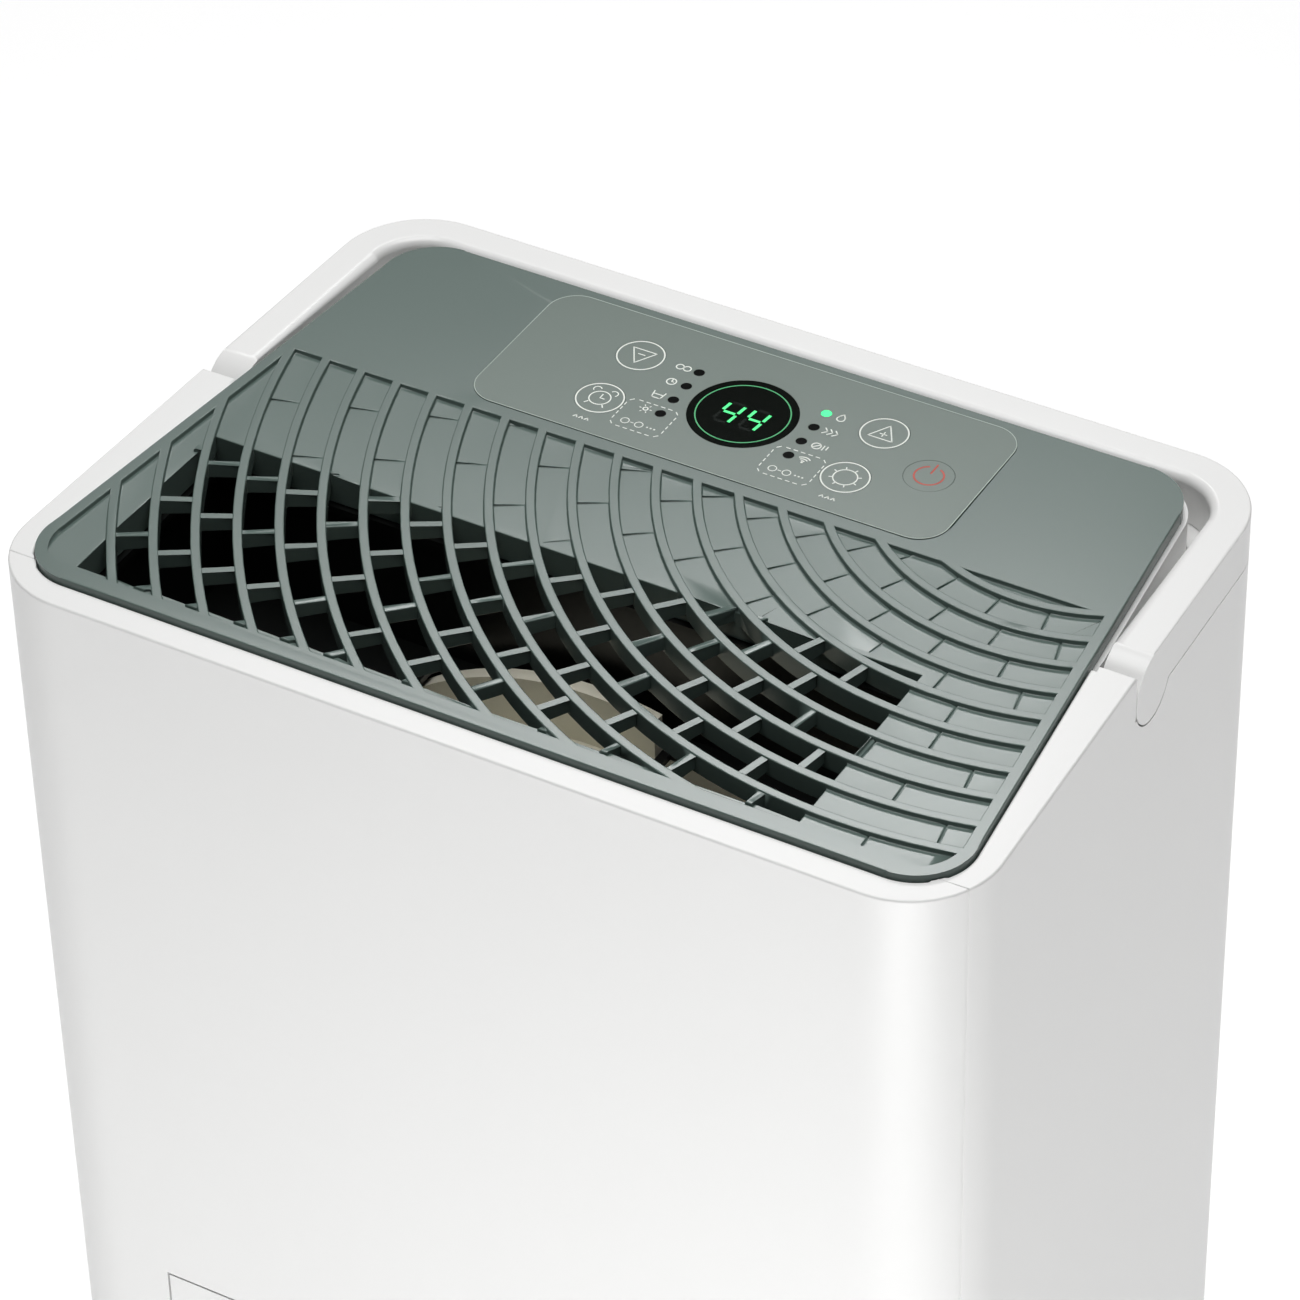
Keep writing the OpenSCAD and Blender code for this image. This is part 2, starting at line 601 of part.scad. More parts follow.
module drip_tray() color(dark) {
  difference() {
    union() {
      intersection() {
        slab(zshelf, zshelf + 3) body2d(-wall - gap);
        translate([0, yf + 30, 0]) translate([-hw, 0, 0]) cube([2*hw, body_d, body_h]);
      }
      // walls of the drip trough
      slab(zshelf, zshelf + 12) difference() {
        rect2d(-coil_w/2 + 2, con_y - 2.5, coil_w/2 - 2, eva_y + coil_t + 4);
        rect2d(-coil_w/2 + 4, con_y - 1, coil_w/2 - 4, eva_y + coil_t + 2);
      }
      // drain spout above the bucket
      translate([60, yf + 70, zshelf - 7]) cylinder(r = 6, h = 9);
    }
    translate([60, yf + 70, zshelf - 8]) cylinder(r = 4, h = 14);
    // pipe holes
    for (t = [-1, 1]) translate([cpx + t*12, cpy - 32, zshelf - 1]) cylinder(r = 5.2, h = 6);
    // cable slot
    box([120, yb - 70, zshelf - 1], [135, yb - 40, zshelf + 6]);
    box([-bucket_w/2, yf - 1, zshelf - 1], [bucket_w/2, yf + 45, zshelf + 5]);
  }
  // channel from the trough to the spout
  difference() {
    box([52, yf + 62, zshelf + 1], [68, con_y - 1.5, zshelf + 9]);
    box([54, yf + 64, zshelf + 3], [66, con_y - 0.5, zshelf + 10]);
    translate([60, yf + 70, zshelf - 8]) cylinder(r = 4, h = 14);
  }
  // hose spigot for continuous drainage
  difference() {
    ycyl(spx, yb - 22, yb - 1, spz, 6);
    ycyl(spx, yb - 23, yb, spz, 4);
  }
  difference() {
    box([spx - 8, yb - 24, zshelf + 1], [spx + 8, yb - 20, spz + 6.5]);
    ycyl(spx, yb - 30, yb - 10, spz, 4);
  }
}

module compressor() color(dark) {
  translate([cpx, cpy, cpz]) rotate_extrude($fn = 96) intersection() {
    offset(r = 16, $fn = 48) offset(delta = -16) translate([-comp_r, 0]) square([2*comp_r, cph]);
    translate([0, -1]) square([comp_r + 1, cph + 2]);
  }
  translate([cpx, cpy, cpz + cph*0.5]) cylinder(r = comp_r + 1, h = 5, $fn = 96);
  // feet
  difference() {
    union() {
      translate([cpx, cpy, cpz]) cylinder(r = comp_r - 8, h = 2.5);
      for (p = feet) translate([cpx, cpy, cpz]) rotate(atan2(p[1] - cpy, p[0] - cpx)) translate([0, -9, 0]) cube([norm([p[0] - cpx, p[1] - cpy]) + 7, 18, 2.5]);
    }
    for (p = feet) translate([p[0], p[1], cpz - 1]) cylinder(r = 5.1, h = 5);
  }
  // pipe stubs
  translate([cpx + 12, cpy - 32, cpz + cph - 30]) cylinder(r = 3.8, h = 38);
  translate([cpx - 12, cpy - 32, cpz + cph - 30]) cylinder(r = 4.8, h = 38);
}

module compressor_mounts() color(dark) for (p = feet) translate([p[0], p[1], 0]) difference() {
  union() {
    translate([0, 0, zbase + 6]) cylinder(r = 8.5, h = cpz - zbase - 6);
    translate([0, 0, cpz - 0.5]) cylinder(r = 5, h = 3.4);
    translate([0, 0, cpz + 2.5]) cylinder(r = 7.4, h = 3);
  }
  translate([0, 0, zbase]) cylinder(r = 3.1, h = 40);
}

module compressor_bolts() color(metal) for (p = feet) translate([p[0], p[1], 0]) {
  translate([0, 0, zbase + 2.2]) cylinder(r = 3, h = cpz - zbase + 5);
  translate([0, 0, cpz + 5.5]) cylinder(r = 6.5, h = 1.2);
  translate([0, 0, cpz + 6.7]) cylinder(r = 5, h = 4, $fn = 16);
}

module terminal_cover() color(dark) difference() {
  box([cpx + comp_r - 8, cpy - 16, cpz + cph/2 + 13], [cpx + comp_r + 16, cpy + 16, cpz + cph - 20]);
  translate([cpx, cpy, 0]) cylinder(r = comp_r + 0.05, h = body_h, $fn = 96);
}

// straight tube between two points, with a brazed ball at each corner
module run(a, b, r) {
  d = b - a;
  l = norm(d);
  translate(a) rotate([0, acos(d[2]/l), atan2(d[1], d[0])]) cylinder(r = r, h = l, $fn = 24);
}

module tubing(pts, r) {
  for (i = [0 : len(pts) - 2]) run(pts[i], pts[i + 1], r);
  for (i = [1 : len(pts) - 2]) translate(pts[i]) sphere(r = r + 0.6, $fn = 24);
}

tex = coil_w/2 + 9.02;            // end of a coil tube
pvy = cpy - 32;

module discharge_pipe() color(copper) tubing([
  [cpx + 12, pvy, cpz + cph + 8.05], [cpx + 12, pvy, cz + 28], [tex + 12, pvy, cz + 28],
  [tex + 12, con_y + 6, cz + 12], [tex, con_y + 6, cz + 12]], 3);

module suction_pipe() color(copper) tubing([
  [cpx - 12, pvy, cpz + cph + 8.05], [cpx - 12, pvy, cz + 44], [-tex - 14, pvy, cz + 44],
  [-tex - 14, eva_y + 6, cz + 40], [-tex - 14, eva_y + 6, cz + 12], [-tex, eva_y + 6, cz + 12]], 3.6);

ctz = cz + 12 + (nrow - 1)*25.4 + 12.7;

module capillary_tube() color(copper) tubing([
  [tex, con_y + 16, ctz], [tex + 12, con_y + 16, ctz], [tex + 12, eva_y + 6, ctz - 60],
  [tex + 12, eva_y + 6, cz + 12], [tex, eva_y + 6, cz + 12]], 1.5);

module power_box() color(dark) {
  difference() {
    box([15, cpy - 34, zbase + 3], [105, cpy + 34, zbase + 70]);
    box([17, cpy - 32, zbase + 5], [103, cpy + 32, zbase + 80]);
  }
  box([14, cpy - 35, zbase + 70], [106, cpy + 35, zbase + 72.5]);
  // run capacitor
  translate([40, cpy, zbase + 4]) cylinder(r = 15, h = 58);
}

module uv_lamp_board() color(green) {
  box([ox1 - 2.2, oy0 + 8, zsk - 32], [ox1 - 0.6, oy0 + 48, zsk - 18]);
  for (y = [oy0 + 16, oy0 + 40]) box([ox1 - 3.6, y - 2, zsk - 27], [ox1 - 2.1, y + 2, zsk - 23]);
}

// ---- water bucket -----------------------------------------------------------------

bw = bucket_w/2;

fly = yf + bucket_d - 8;
flz = bkz + bucket_h - 47.5;

module bucket() color(dark) {
  bucket_shell();
  // ledges under the lid
  for (s = [-1, 1]) for (y = [yf + 14, yf + bucket_d - 34])
    box([s*(bw - 4.6) - 2.6, y, bkz + bucket_h - 14], [s*(bw - 4.6) + 2.6, y + 20, bkz + bucket_h - 10]);
  // ears and axle of the float
  for (x = [-85.5, -67.5]) box([x, fly - 4, flz - 4], [x + 3, yf + bucket_d - 1, flz + 4]);
  xcyl(-84, -66, fly, flz, 1.5);
}

module bucket_shell() difference() {
  union() {
    box([-bw, yf, zsh + 0.4], [bw, yf + wall, bkz + bucket_h]);
    box([-bw, yf + 1, bkz], [bw, yf + bucket_d, bkz + bucket_h - 6]);
  }
  box([-bw + 2.2, yf + 3.4, bkz + 2.4], [bw - 2.2, yf + bucket_d - 2.2, bkz + bucket_h + 1]);
  // finger grip
  ycyl(0, yf - 1, yf + 2, bkz + bucket_h + 4, 26);
  ycyl(-bw + 30, yf + bucket_d - 5, yf + bucket_d + 1, bkz + bucket_h - 30, 1);
}

module bucket_lid() color(dark) difference() {
  box([-bw + 2.6, yf + 3.8, bkz + bucket_h - 10], [bw - 2.6, yf + bucket_d - 2.6, bkz + bucket_h - 7.8]);
  translate([60, yf + 70, bkz + bucket_h - 12]) cylinder(r = 14, h = 8);
}

module float() color(white) difference() {
  union() {
    box([-92, fly - 38, flz - 14.5], [-58, fly - 12, flz + 7.5]);
    box([-79, fly - 14, flz - 2.5], [-71, fly, flz + 2.5]);
    xcyl(-81.8, -67.8, fly, flz, 3.4);
  }
  xcyl(-90, -60, fly, flz, 1.56);
}

module float_switch() color(dark) {
  box([-84, yf + bucket_d + 6, flz - 16], [-66, yf + bucket_d + 14, flz + 14]);
  box([-80, yf + bucket_d + 13, flz - 6], [-70, yf + bucket_d + 16, flz + 4]);
}

// ---- intake -------------------------------------------------------------------------

module intake_grille() color(white) {
  difference() {
    box([-fxw + 0.5, yb - 4, fz0 + 0.5], [fxw - 0.5, yb - 0.2, fz1 - 0.5]);
    box([-fxw + 7, yb - 6, fz0 + 7], [fxw - 7, yb + 2, fz1 - 7]);
  }
  n = floor((fz1 - fz0 - 14)/9);
  for (i = [1 : n]) box([-fxw + 6, yb - 3.6, fz0 + 5 + i*9], [fxw - 6, yb - 1.2, fz0 + 7.4 + i*9]);
  for (x = [-52, 0, 52]) box([x - 1.2, yb - 3.8, fz0 + 5], [x + 1.2, yb - 2, fz1 - 5]);
}

module filter_frame() color(dark) difference() {
  union() {
    difference() {
      box([-fxw + 3, yb - 12, fz0 + 3], [fxw - 3, yb - 4, fz1 - 3]);
      box([-fxw + 8, yb - 13, fz0 + 8], [fxw - 8, yb - 3, fz1 - 8]);
    }
    for (x = [-50, 0, 50]) box([x - 1.2, yb - 7, fz0 + 6], [x + 1.2, yb - 4.6, fz1 - 6]);
    box([-fxw + 6, yb - 7, (fz0 + fz1)/2 - 1.2], [fxw - 6, yb - 4.6, (fz0 + fz1)/2 + 1.2]);
  }
}

module filter_mesh() color([0.2, 0.2, 0.2]) difference() {
  box([-fxw + 8.2, yb - 8.4, fz0 + 8.2], [fxw - 8.2, yb - 7.4, fz1 - 8.2]);
  for (x = [-84:12:84]) for (z = [fz0 + 20 : 12 : fz1 - 20]) box([x - 4, yb - 10, z - 4], [x + 4, yb - 6, z + 4]);
}

module cord_gland() color(dark) difference() {
  union() {
    ycyl(118, yb - 8, yb - 0.2, zbase + 50, 8);
    ycyl(118, yb - 8, yb - 4.6, zbase + 50, 11);
  }
  ycyl(118, yb - 12, yb + 2, zbase + 50, 3.4);
}

// ---- drawing -----------------------------------------------------------------------

base_pan();
front_shell();
rear_shell();
top_frame();
top_plate();
control_film();
display_lens();
display_module();
led_lens_lit();
led_lenses();
control_board();
tact_switches();
key_minus();
key_timer();
key_plus();
key_mode();
key_power();
handle();
handle_pins();
outlet_duct();
scroll_front();
scroll_rear();
fan_impeller();
motor_shaft();
fan_motor();
evaporator_fins();
evaporator_tubes();
condenser_fins();
condenser_tubes();
coil_end_plates();
drip_tray();
compressor();
compressor_mounts();
compressor_bolts();
terminal_cover();
discharge_pipe();
suction_pipe();
capillary_tube();
power_box();
uv_lamp_board();
bucket();
bucket_lid();
float();
float_switch();
intake_grille();
filter_frame();
filter_mesh();
cord_gland();
shell_screws();
castor_fork_left();
castor_fork_right();
castor_axle_left();
castor_axle_right();
rear_castor_forks();
rear_castor_axles();
wheel_front_left();
wheel_front_right();
wheel_rear_left();
wheel_rear_right();
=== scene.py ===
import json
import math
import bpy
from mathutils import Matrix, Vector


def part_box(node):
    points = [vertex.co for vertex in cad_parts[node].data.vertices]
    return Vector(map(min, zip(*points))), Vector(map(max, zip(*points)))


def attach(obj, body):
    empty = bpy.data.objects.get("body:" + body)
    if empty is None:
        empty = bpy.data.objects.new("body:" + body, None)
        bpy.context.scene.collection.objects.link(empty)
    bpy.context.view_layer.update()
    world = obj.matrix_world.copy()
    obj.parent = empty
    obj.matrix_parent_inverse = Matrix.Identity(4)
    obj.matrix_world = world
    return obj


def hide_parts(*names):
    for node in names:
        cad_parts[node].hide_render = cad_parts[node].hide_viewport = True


bl_info = {
    "name": "Dehumidifier looks",
    "version": (1, 0, 0),
    "blender": (4, 5, 0),
    "location": "3D View > Sidebar > Dehumidifier",
    "description": "Finishes, printed graphics, soft edges and studio for the packed dehumidifier",
    "category": "Object",
}

import bpy
from mathutils import Matrix, Vector

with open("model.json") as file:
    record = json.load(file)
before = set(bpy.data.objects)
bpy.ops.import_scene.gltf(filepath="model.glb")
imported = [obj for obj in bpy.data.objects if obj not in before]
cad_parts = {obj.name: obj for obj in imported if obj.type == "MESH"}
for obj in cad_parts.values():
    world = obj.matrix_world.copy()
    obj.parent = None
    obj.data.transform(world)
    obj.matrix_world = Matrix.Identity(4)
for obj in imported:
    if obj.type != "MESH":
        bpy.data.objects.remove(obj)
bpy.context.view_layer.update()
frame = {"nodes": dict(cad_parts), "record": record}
NODES = frame["nodes"]
BODY_OF = {n: b for b, members in frame["record"]["behaviour"]["bodies"].items() for n in members}
SLOT_OF = {s["node"]: s["material_slot"] for s in frame["record"]["subparts"]}

MM = 0.001
WELD = 0.004 * MM             # vertices of a CAD copy that are closer than this are one
LEVEL = 0.02 * MM             # how near the rim's height an edge of its flat top lies
COLOUR_PATCH = 71.4 * MM      # size of the patches in which a moulding's colour drifts
GLOSS_PATCH = 111 * MM        # size of the patches in which its gloss wanders
DIFFUSER_GRAIN = 1.11 * MM    # mottle of a lamp's diffuser


# ---- measures taken from the frame --------------------------------------------

def middle(node):
    """Centre of a CAD node's box, in metres."""
    low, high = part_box(node)
    return (low + high) / 2


LENS = middle("display_lens")
FILM_LOW, FILM_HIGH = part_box("control_film")
FILM_TOP = FILM_HIGH.z
KEY_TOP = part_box("key_minus")[1].z
RIM_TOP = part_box("rear_shell")[1].z
SEAM_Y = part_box("front_shell")[1].y


def linear(code):
    """sRGB hex colour as linear RGBA."""
    parts = [int(code[i:i + 2], 16) / 255 for i in (1, 3, 5)]
    return [v / 12.92 if v <= 0.04045 else ((v + 0.055) / 1.055) ** 2.4 for v in parts] + [1.0]


# ---- values that a user would change -------------------------------------------

class DEHUMIDIFIER_PG_case(bpy.types.PropertyGroup):
    rim_fillet: bpy.props.FloatProperty(
        name="Rim fillet", description="Radius of the outer top edge of the shells and the handle",
        default=0.7 * MM, min=0.3 * MM, max=3 * MM, unit="LENGTH", subtype="DISTANCE")
    rim_inner_fillet: bpy.props.FloatProperty(
        name="Rim inner fillet", description="Radius of the edge where the rim drops to the top panel",
        default=0.9 * MM, min=0.3 * MM, max=3 * MM, unit="LENGTH", subtype="DISTANCE")
    handle_fillet: bpy.props.FloatProperty(
        name="Handle inner fillet", description="Radius of the inner top edge of the carry handle",
        default=3.0 * MM, min=0.5 * MM, max=5 * MM, unit="LENGTH", subtype="DISTANCE")
    seam_fill: bpy.props.FloatProperty(
        name="Seam fill", description="How far the front shell's lip closes the seam to the rear shell",
        default=0.2 * MM, min=0, max=0.25 * MM, unit="LENGTH", subtype="DISTANCE")
    edge_break: bpy.props.FloatProperty(
        name="Edge break", description="Width of the small bevel that moulded edges have",
        default=0.35 * MM, min=0.05 * MM, max=1 * MM, unit="LENGTH", subtype="DISTANCE")
    white: bpy.props.FloatVectorProperty(
        name="White plastic", description="Colour of the shells and handle", size=3,
        default=linear("#E8E8E7")[:3], min=0, max=1, subtype="COLOR")
    sage: bpy.props.FloatVectorProperty(
        name="Sage plastic", description="Colour of the top panel", size=3,
        default=linear("#5F6E69")[:3], min=0, max=1, subtype="COLOR")


class DEHUMIDIFIER_PG_panel(bpy.types.PropertyGroup):
    ink_height: bpy.props.FloatProperty(
        name="Ink thickness", description="Thickness of the printed graphics",
        default=0.02 * MM, min=0.005 * MM, max=0.04 * MM, unit="LENGTH", subtype="DISTANCE")
    line_width: bpy.props.FloatProperty(
        name="Line width", description="Width of the printed lines",
        default=0.5 * MM, min=0.2 * MM, max=1 * MM, unit="LENGTH", subtype="DISTANCE")
    ring_radius: bpy.props.FloatProperty(
        name="Display ring", description="Radius of the lit ring round the digits",
        default=15.4 * MM, min=12 * MM, max=17 * MM, unit="LENGTH", subtype="DISTANCE")
    digit_height: bpy.props.FloatProperty(
        name="Digit height", description="Height of the display digits",
        default=10.6 * MM, min=6 * MM, max=14 * MM, unit="LENGTH", subtype="DISTANCE")
    key_ring: bpy.props.FloatProperty(
        name="Key ring", description="Outer radius of the printed ring on a key",
        default=7.95 * MM, min=5 * MM, max=8 * MM, unit="LENGTH", subtype="DISTANCE")
    film_corner: bpy.props.FloatProperty(
        name="Film corner", description="Corner radius of the control film",
        default=10.5 * MM, min=4 * MM, max=20 * MM, unit="LENGTH", subtype="DISTANCE")
    # painted highlight: the bright line along the film's cut edge stands in for the light the edge catches
    edge_highlight_width: bpy.props.FloatProperty(
        name="Film edge line", description="Width of the bright line along the film's cut edge",
        default=0.32 * MM, min=0.1 * MM, max=1 * MM, unit="LENGTH", subtype="DISTANCE")
    humidity: bpy.props.IntProperty(
        name="Shown value", description="Two-digit relative humidity on the display",
        default=44, min=10, max=99)
    film: bpy.props.FloatVectorProperty(
        name="Control film", description="Colour of the control film", size=3,
        default=linear("#63716A")[:3], min=0, max=1, subtype="COLOR")


# ---- materials -------------------------------------------------------------------

def add_node(tree, kind, settings=None, values=None, links=None):
    """Adds a node, sets its properties and socket values, and links its inputs."""
    node = tree.nodes.new(kind)
    for name, value in (settings or {}).items():
        setattr(node, name, value)
    for socket, value in (values or {}).items():
        node.inputs[socket].default_value = value
    for socket, (source, output) in (links or {}).items():
        tree.links.new(source.outputs[output], node.inputs[socket])
    return node


def new_material(name):
    """An empty node material with its output and object coordinates."""
    material = bpy.data.materials.new(name)
    material.use_nodes = True
    tree = material.node_tree
    tree.nodes.clear()
    place = add_node(tree, "ShaderNodeTexCoord")
    return material, tree, place


def moulded(name, base, drift, roughness, grain=0.7, grain_depth=0.02, ior=1.5, coat=0.0):
    """Injection-moulded or sheet plastic: slow colour drift, a fine tool grain and uneven gloss."""
    material, tree, place = new_material(name)
    base = base if len(base) == 4 else (*base, 1)
    low = tuple(c * (1 - drift) for c in base[:3]) + (1,)
    high = tuple(min(1, c * (1 + drift)) for c in base[:3]) + (1,)
    slow = add_node(tree, "ShaderNodeTexNoise", values={"Scale": 1 / COLOUR_PATCH, "Detail": 3.0},
                    links={"Vector": (place, "Object")})
    colour = add_node(tree, "ShaderNodeMix", {"data_type": "RGBA"}, {6: low, 7: high},
                      {0: (slow, "Fac")})
    fine = add_node(tree, "ShaderNodeTexNoise",
                    values={"Scale": 1 / (grain * MM), "Detail": 2.0, "Roughness": 0.6},
                    links={"Vector": (place, "Object")})
    smear = add_node(tree, "ShaderNodeTexNoise", values={"Scale": 1 / GLOSS_PATCH, "Detail": 2.0},
                     links={"Vector": (place, "Object")})
    gloss = add_node(tree, "ShaderNodeMapRange",
                     values={"To Min": roughness - 0.012, "To Max": roughness + 0.018},
                     links={"Value": (smear, "Fac")})
    bump = add_node(tree, "ShaderNodeBump", values={"Strength": 0.5, "Distance": grain_depth * MM},
                    links={"Height": (fine, "Fac")})
    shader = add_node(tree, "ShaderNodeBsdfPrincipled",
                      values={"IOR": ior, "Coat Weight": coat, "Coat Roughness": 0.08},
                      links={"Base Color": (colour, 2), "Roughness": (gloss, "Result"),
                             "Normal": (bump, "Normal")})
    add_node(tree, "ShaderNodeOutputMaterial", links={"Surface": (shader, "BSDF")})
    return material


def metal(name, base, roughness, grain, stretch=(1, 1, 1), drift=0.12, depth=0.01):
    """Bare or plated metal: tone that wanders a little and a directional or grainy surface."""
    material, tree, place = new_material(name)
    base = linear(base)
    low = tuple(c * (1 - drift) for c in base[:3]) + (1,)
    turn = add_node(tree, "ShaderNodeMapping", values={"Scale": stretch},
                    links={"Vector": (place, "Object")})
    fine = add_node(tree, "ShaderNodeTexNoise", values={"Scale": 1 / (grain * MM), "Detail": 3.0},
                    links={"Vector": (turn, "Vector")})
    colour = add_node(tree, "ShaderNodeMix", {"data_type": "RGBA"}, {6: low, 7: tuple(base)},
                      {0: (fine, "Fac")})
    gloss = add_node(tree, "ShaderNodeMapRange",
                     values={"To Min": roughness - 0.08, "To Max": roughness + 0.1},
                     links={"Value": (fine, "Fac")})
    bump = add_node(tree, "ShaderNodeBump", values={"Strength": 0.4, "Distance": depth * MM},
                    links={"Height": (fine, "Fac")})
    shader = add_node(tree, "ShaderNodeBsdfPrincipled", values={"Metallic": 1.0},
                      links={"Base Color": (colour, 2), "Roughness": (gloss, "Result"),
                             "Normal": (bump, "Normal")})
    add_node(tree, "ShaderNodeOutputMaterial", links={"Surface": (shader, "BSDF")})
    return material


def lit(name, colour, glow, strength):
    """Light-emitting diode behind a smoked window: even glow with a slightly mottled diffuser."""
    material, tree, place = new_material(name)
    mottle = add_node(tree, "ShaderNodeTexNoise", values={"Scale": 1 / DIFFUSER_GRAIN, "Detail": 2.0},
                      links={"Vector": (place, "Object")})
    tone = add_node(tree, "ShaderNodeMix", {"data_type": "RGBA"},
                    {6: tuple(c * 0.8 for c in linear(glow)[:3]) + (1,), 7: tuple(linear(glow))},
                    {0: (mottle, "Fac")})
    shader = add_node(tree, "ShaderNodeBsdfPrincipled",
                      values={"Base Color": linear(colour), "Roughness": 0.3, "Emission Strength": strength},
                      links={"Emission Color": (tone, 2)})
    add_node(tree, "ShaderNodeOutputMaterial", links={"Surface": (shader, "BSDF")})
    return material


MATERIALS = {}


def make_materials(case, panel):
    """One material per real finish of the object."""
    m = MATERIALS
    # injection-moulded white ABS, fine spark-eroded satin: soft broad sheen, no mirror
    m["white_abs"] = moulded("white_abs_moulded_satin", tuple(case.white), 0.006, 0.30, 0.8, 0.004)
    # moulded sage-green ABS, glossier than the shells: takes a broad sheen from a low light
    m["sage_abs"] = moulded("sage_abs_moulded_satin", tuple(case.sage), 0.03, 0.20, 0.9, 0.004)
    # silk-textured polyester overlay film: soft sheen, a little warmer than the panel
    m["pet_film"] = moulded("pet_film_silk", tuple(panel.film), 0.02, 0.24, 0.5, 0.003)
    # cast smoked acrylic lens: near black, polished
    m["acrylic"] = moulded("smoked_acrylic_polished", linear("#050A06"), 0.05, 0.07, 1.5, 0.0005, 1.45)
    # screen-printed ink lines: flat, slightly raised
    m["white_ink"] = moulded("screen_ink_white", linear("#EDF1EA"), 0.04, 0.5, 0.4, 0.01)
    m["red_ink"] = moulded("screen_ink_red", linear("#BE4A3A"), 0.06, 0.5, 0.4, 0.01)
    # cut edge of the overlay film: a thin pale line, a painted highlight along the edge where it catches the
    # light
    m["film_edge"] = moulded("pet_film_edge_painted_highlight", linear("#A3AFA7"), 0.05, 0.4, 0.4, 0.01)
    # light-emitting diodes behind the smoked lens and windows: even green glow
    m["digit_lit"] = lit("led_segment_lit", "#0E5A2B", "#2FE07A", 1.6)
    m["ring_lit"] = lit("led_ring_lit", "#0E5A2B", "#1FA060", 0.9)
    m["led_lit"] = lit("led_window_lit", "#0E7A3B", "#2BE58A", 1.5)
    # unlit segments and windows: polished smoked plastic, just told from the lens round them
    m["digit_off"] = moulded("led_segment_unlit", linear("#0C1510"), 0.05, 0.1, 0.5, 0.0005)
    m["led_off"] = moulded("led_window_unlit", linear("#040605"), 0.05, 0.08, 0.6, 0.0005)
    # black ABS duct and base: moulded, satin
    m["black_abs"] = moulded("black_abs_moulded", linear("#0C0E0D"), 0.15, 0.32, 1.1, 0.03)
    # cream ABS fan housing: natural resin, satin
    m["cream_abs"] = moulded("cream_abs_moulded", linear("#F3EFDC"), 0.03, 0.45, 1.2, 0.01)
    # zinc-plated steel: fine grain, cool
    m["zinc_steel"] = metal("zinc_plated_steel", "#B9BCBE", 0.34, 1.2)
    # mill-finish aluminium fin stock: vertical streaks
    m["fin_aluminium"] = metal("mill_aluminium_fins", "#C9CCCE", 0.30, 0.9, (1, 1, 0.08))
    # drawn copper tube, lightly oxidised
    m["drawn_copper"] = metal("drawn_copper_tube", "#B87350", 0.28, 2.0, drift=0.3)
    # stove-enamelled steel shell of the compressor
    m["black_enamel"] = moulded("stove_enamel_black", linear("#121315"), 0.1, 0.22, 2.5, 0.05, 1.52, 0.2)
    # moulded nitrile rubber: dull, its black wanders a little
    m["rubber"] = moulded("nitrile_rubber_moulded", linear("#17181A"), 0.2, 0.62, 0.8, 0.05)
    # solder mask over glass-fibre board: clear gloss over uneven green
    m["solder_mask"] = moulded("solder_mask_green", linear("#14502A"), 0.1, 0.28, 1.6, 0.02, 1.5, 0.3)
    # woven nylon dust filter
    m["nylon_mesh"] = moulded("nylon_mesh_woven", linear("#26282A"), 0.2, 0.55, 0.6, 0.08)
    # polyurethane tyre: matt grey-black
    m["tyre"] = moulded("polyurethane_tyre", linear("#1D1E20"), 0.12, 0.5, 1.0, 0.05)


# ---- modelling helpers -----------------------------------------------------------

def deselect():
    if bpy.context.object and bpy.context.object.mode != "OBJECT":
        bpy.ops.object.mode_set(mode="OBJECT")
    bpy.ops.object.select_all(action="DESELECT")


def activate(piece):
    deselect()
    piece.select_set(True)
    bpy.context.view_layer.objects.active = piece


def finish_piece(piece, body, material):
    """Gives the piece its material, rides the body and keeps the object at the origin."""
    activate(piece)
    bpy.ops.object.transform_apply(location=True, rotation=True, scale=True)
    piece.data.materials.clear()
    piece.data.materials.append(material)
    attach(piece, body)
    return piece


def apply_modifier(piece, kind, **settings):
    modifier = piece.modifiers.new(kind.title(), kind)
    for name, value in settings.items():
        setattr(modifier, name, value)
    activate(piece)
    bpy.ops.object.modifier_apply(modifier=modifier.name)


def copy_node(node, name):
    """A merged, cleaned copy of a CAD node, ready to be shaped."""
    source = NODES[node]
    piece = bpy.data.objects.new(name, source.data.copy())
    bpy.context.scene.collection.objects.link(piece)
    activate(piece)
    bpy.ops.object.mode_set(mode="EDIT")
    bpy.ops.mesh.select_all(action="SELECT")
    bpy.ops.mesh.remove_doubles(threshold=WELD)
    bpy.ops.mesh.dissolve_degenerate(threshold=WELD)
    bpy.ops.mesh.dissolve_limited(angle_limit=math.radians(0.4))
    bpy.ops.object.mode_set(mode="OBJECT")
    return piece


def weigh_edges(piece, rule):
    """Sets the bevel weight of each edge to what rule(edge ends, face normals) gives."""
    mesh = piece.data
    weights = mesh.attributes.get("bevel_weight_edge")
    if not weights:
        weights = mesh.attributes.new("bevel_weight_edge", "FLOAT", "EDGE")
    faces = {}
    for poly in mesh.polygons:
        for key in poly.edge_keys:
            faces.setdefault(key, []).append(poly)
    for edge in mesh.edges:
        near = faces.get(tuple(sorted(edge.vertices)), [])
        ends = [mesh.vertices[i].co for i in edge.vertices]
        weights.data[edge.index].value = rule(ends, near) if len(near) == 2 else 0.0


def rim_side(ends, near):
    """1 for an outer edge of the flat top of the rim or handle, -1 for an inner one, 0 for any other."""
    level = all(abs(p.z - RIM_TOP) < LEVEL for p in ends)
    upright = [f for f in near if abs(f.normal.z) < 0.1]
    if not (level and len(upright) == 1):
        return 0
    mid = (ends[0] + ends[1]) / 2
    return 1 if upright[0].normal.dot(Vector((mid.x, mid.y, 0))) > 0 else -1


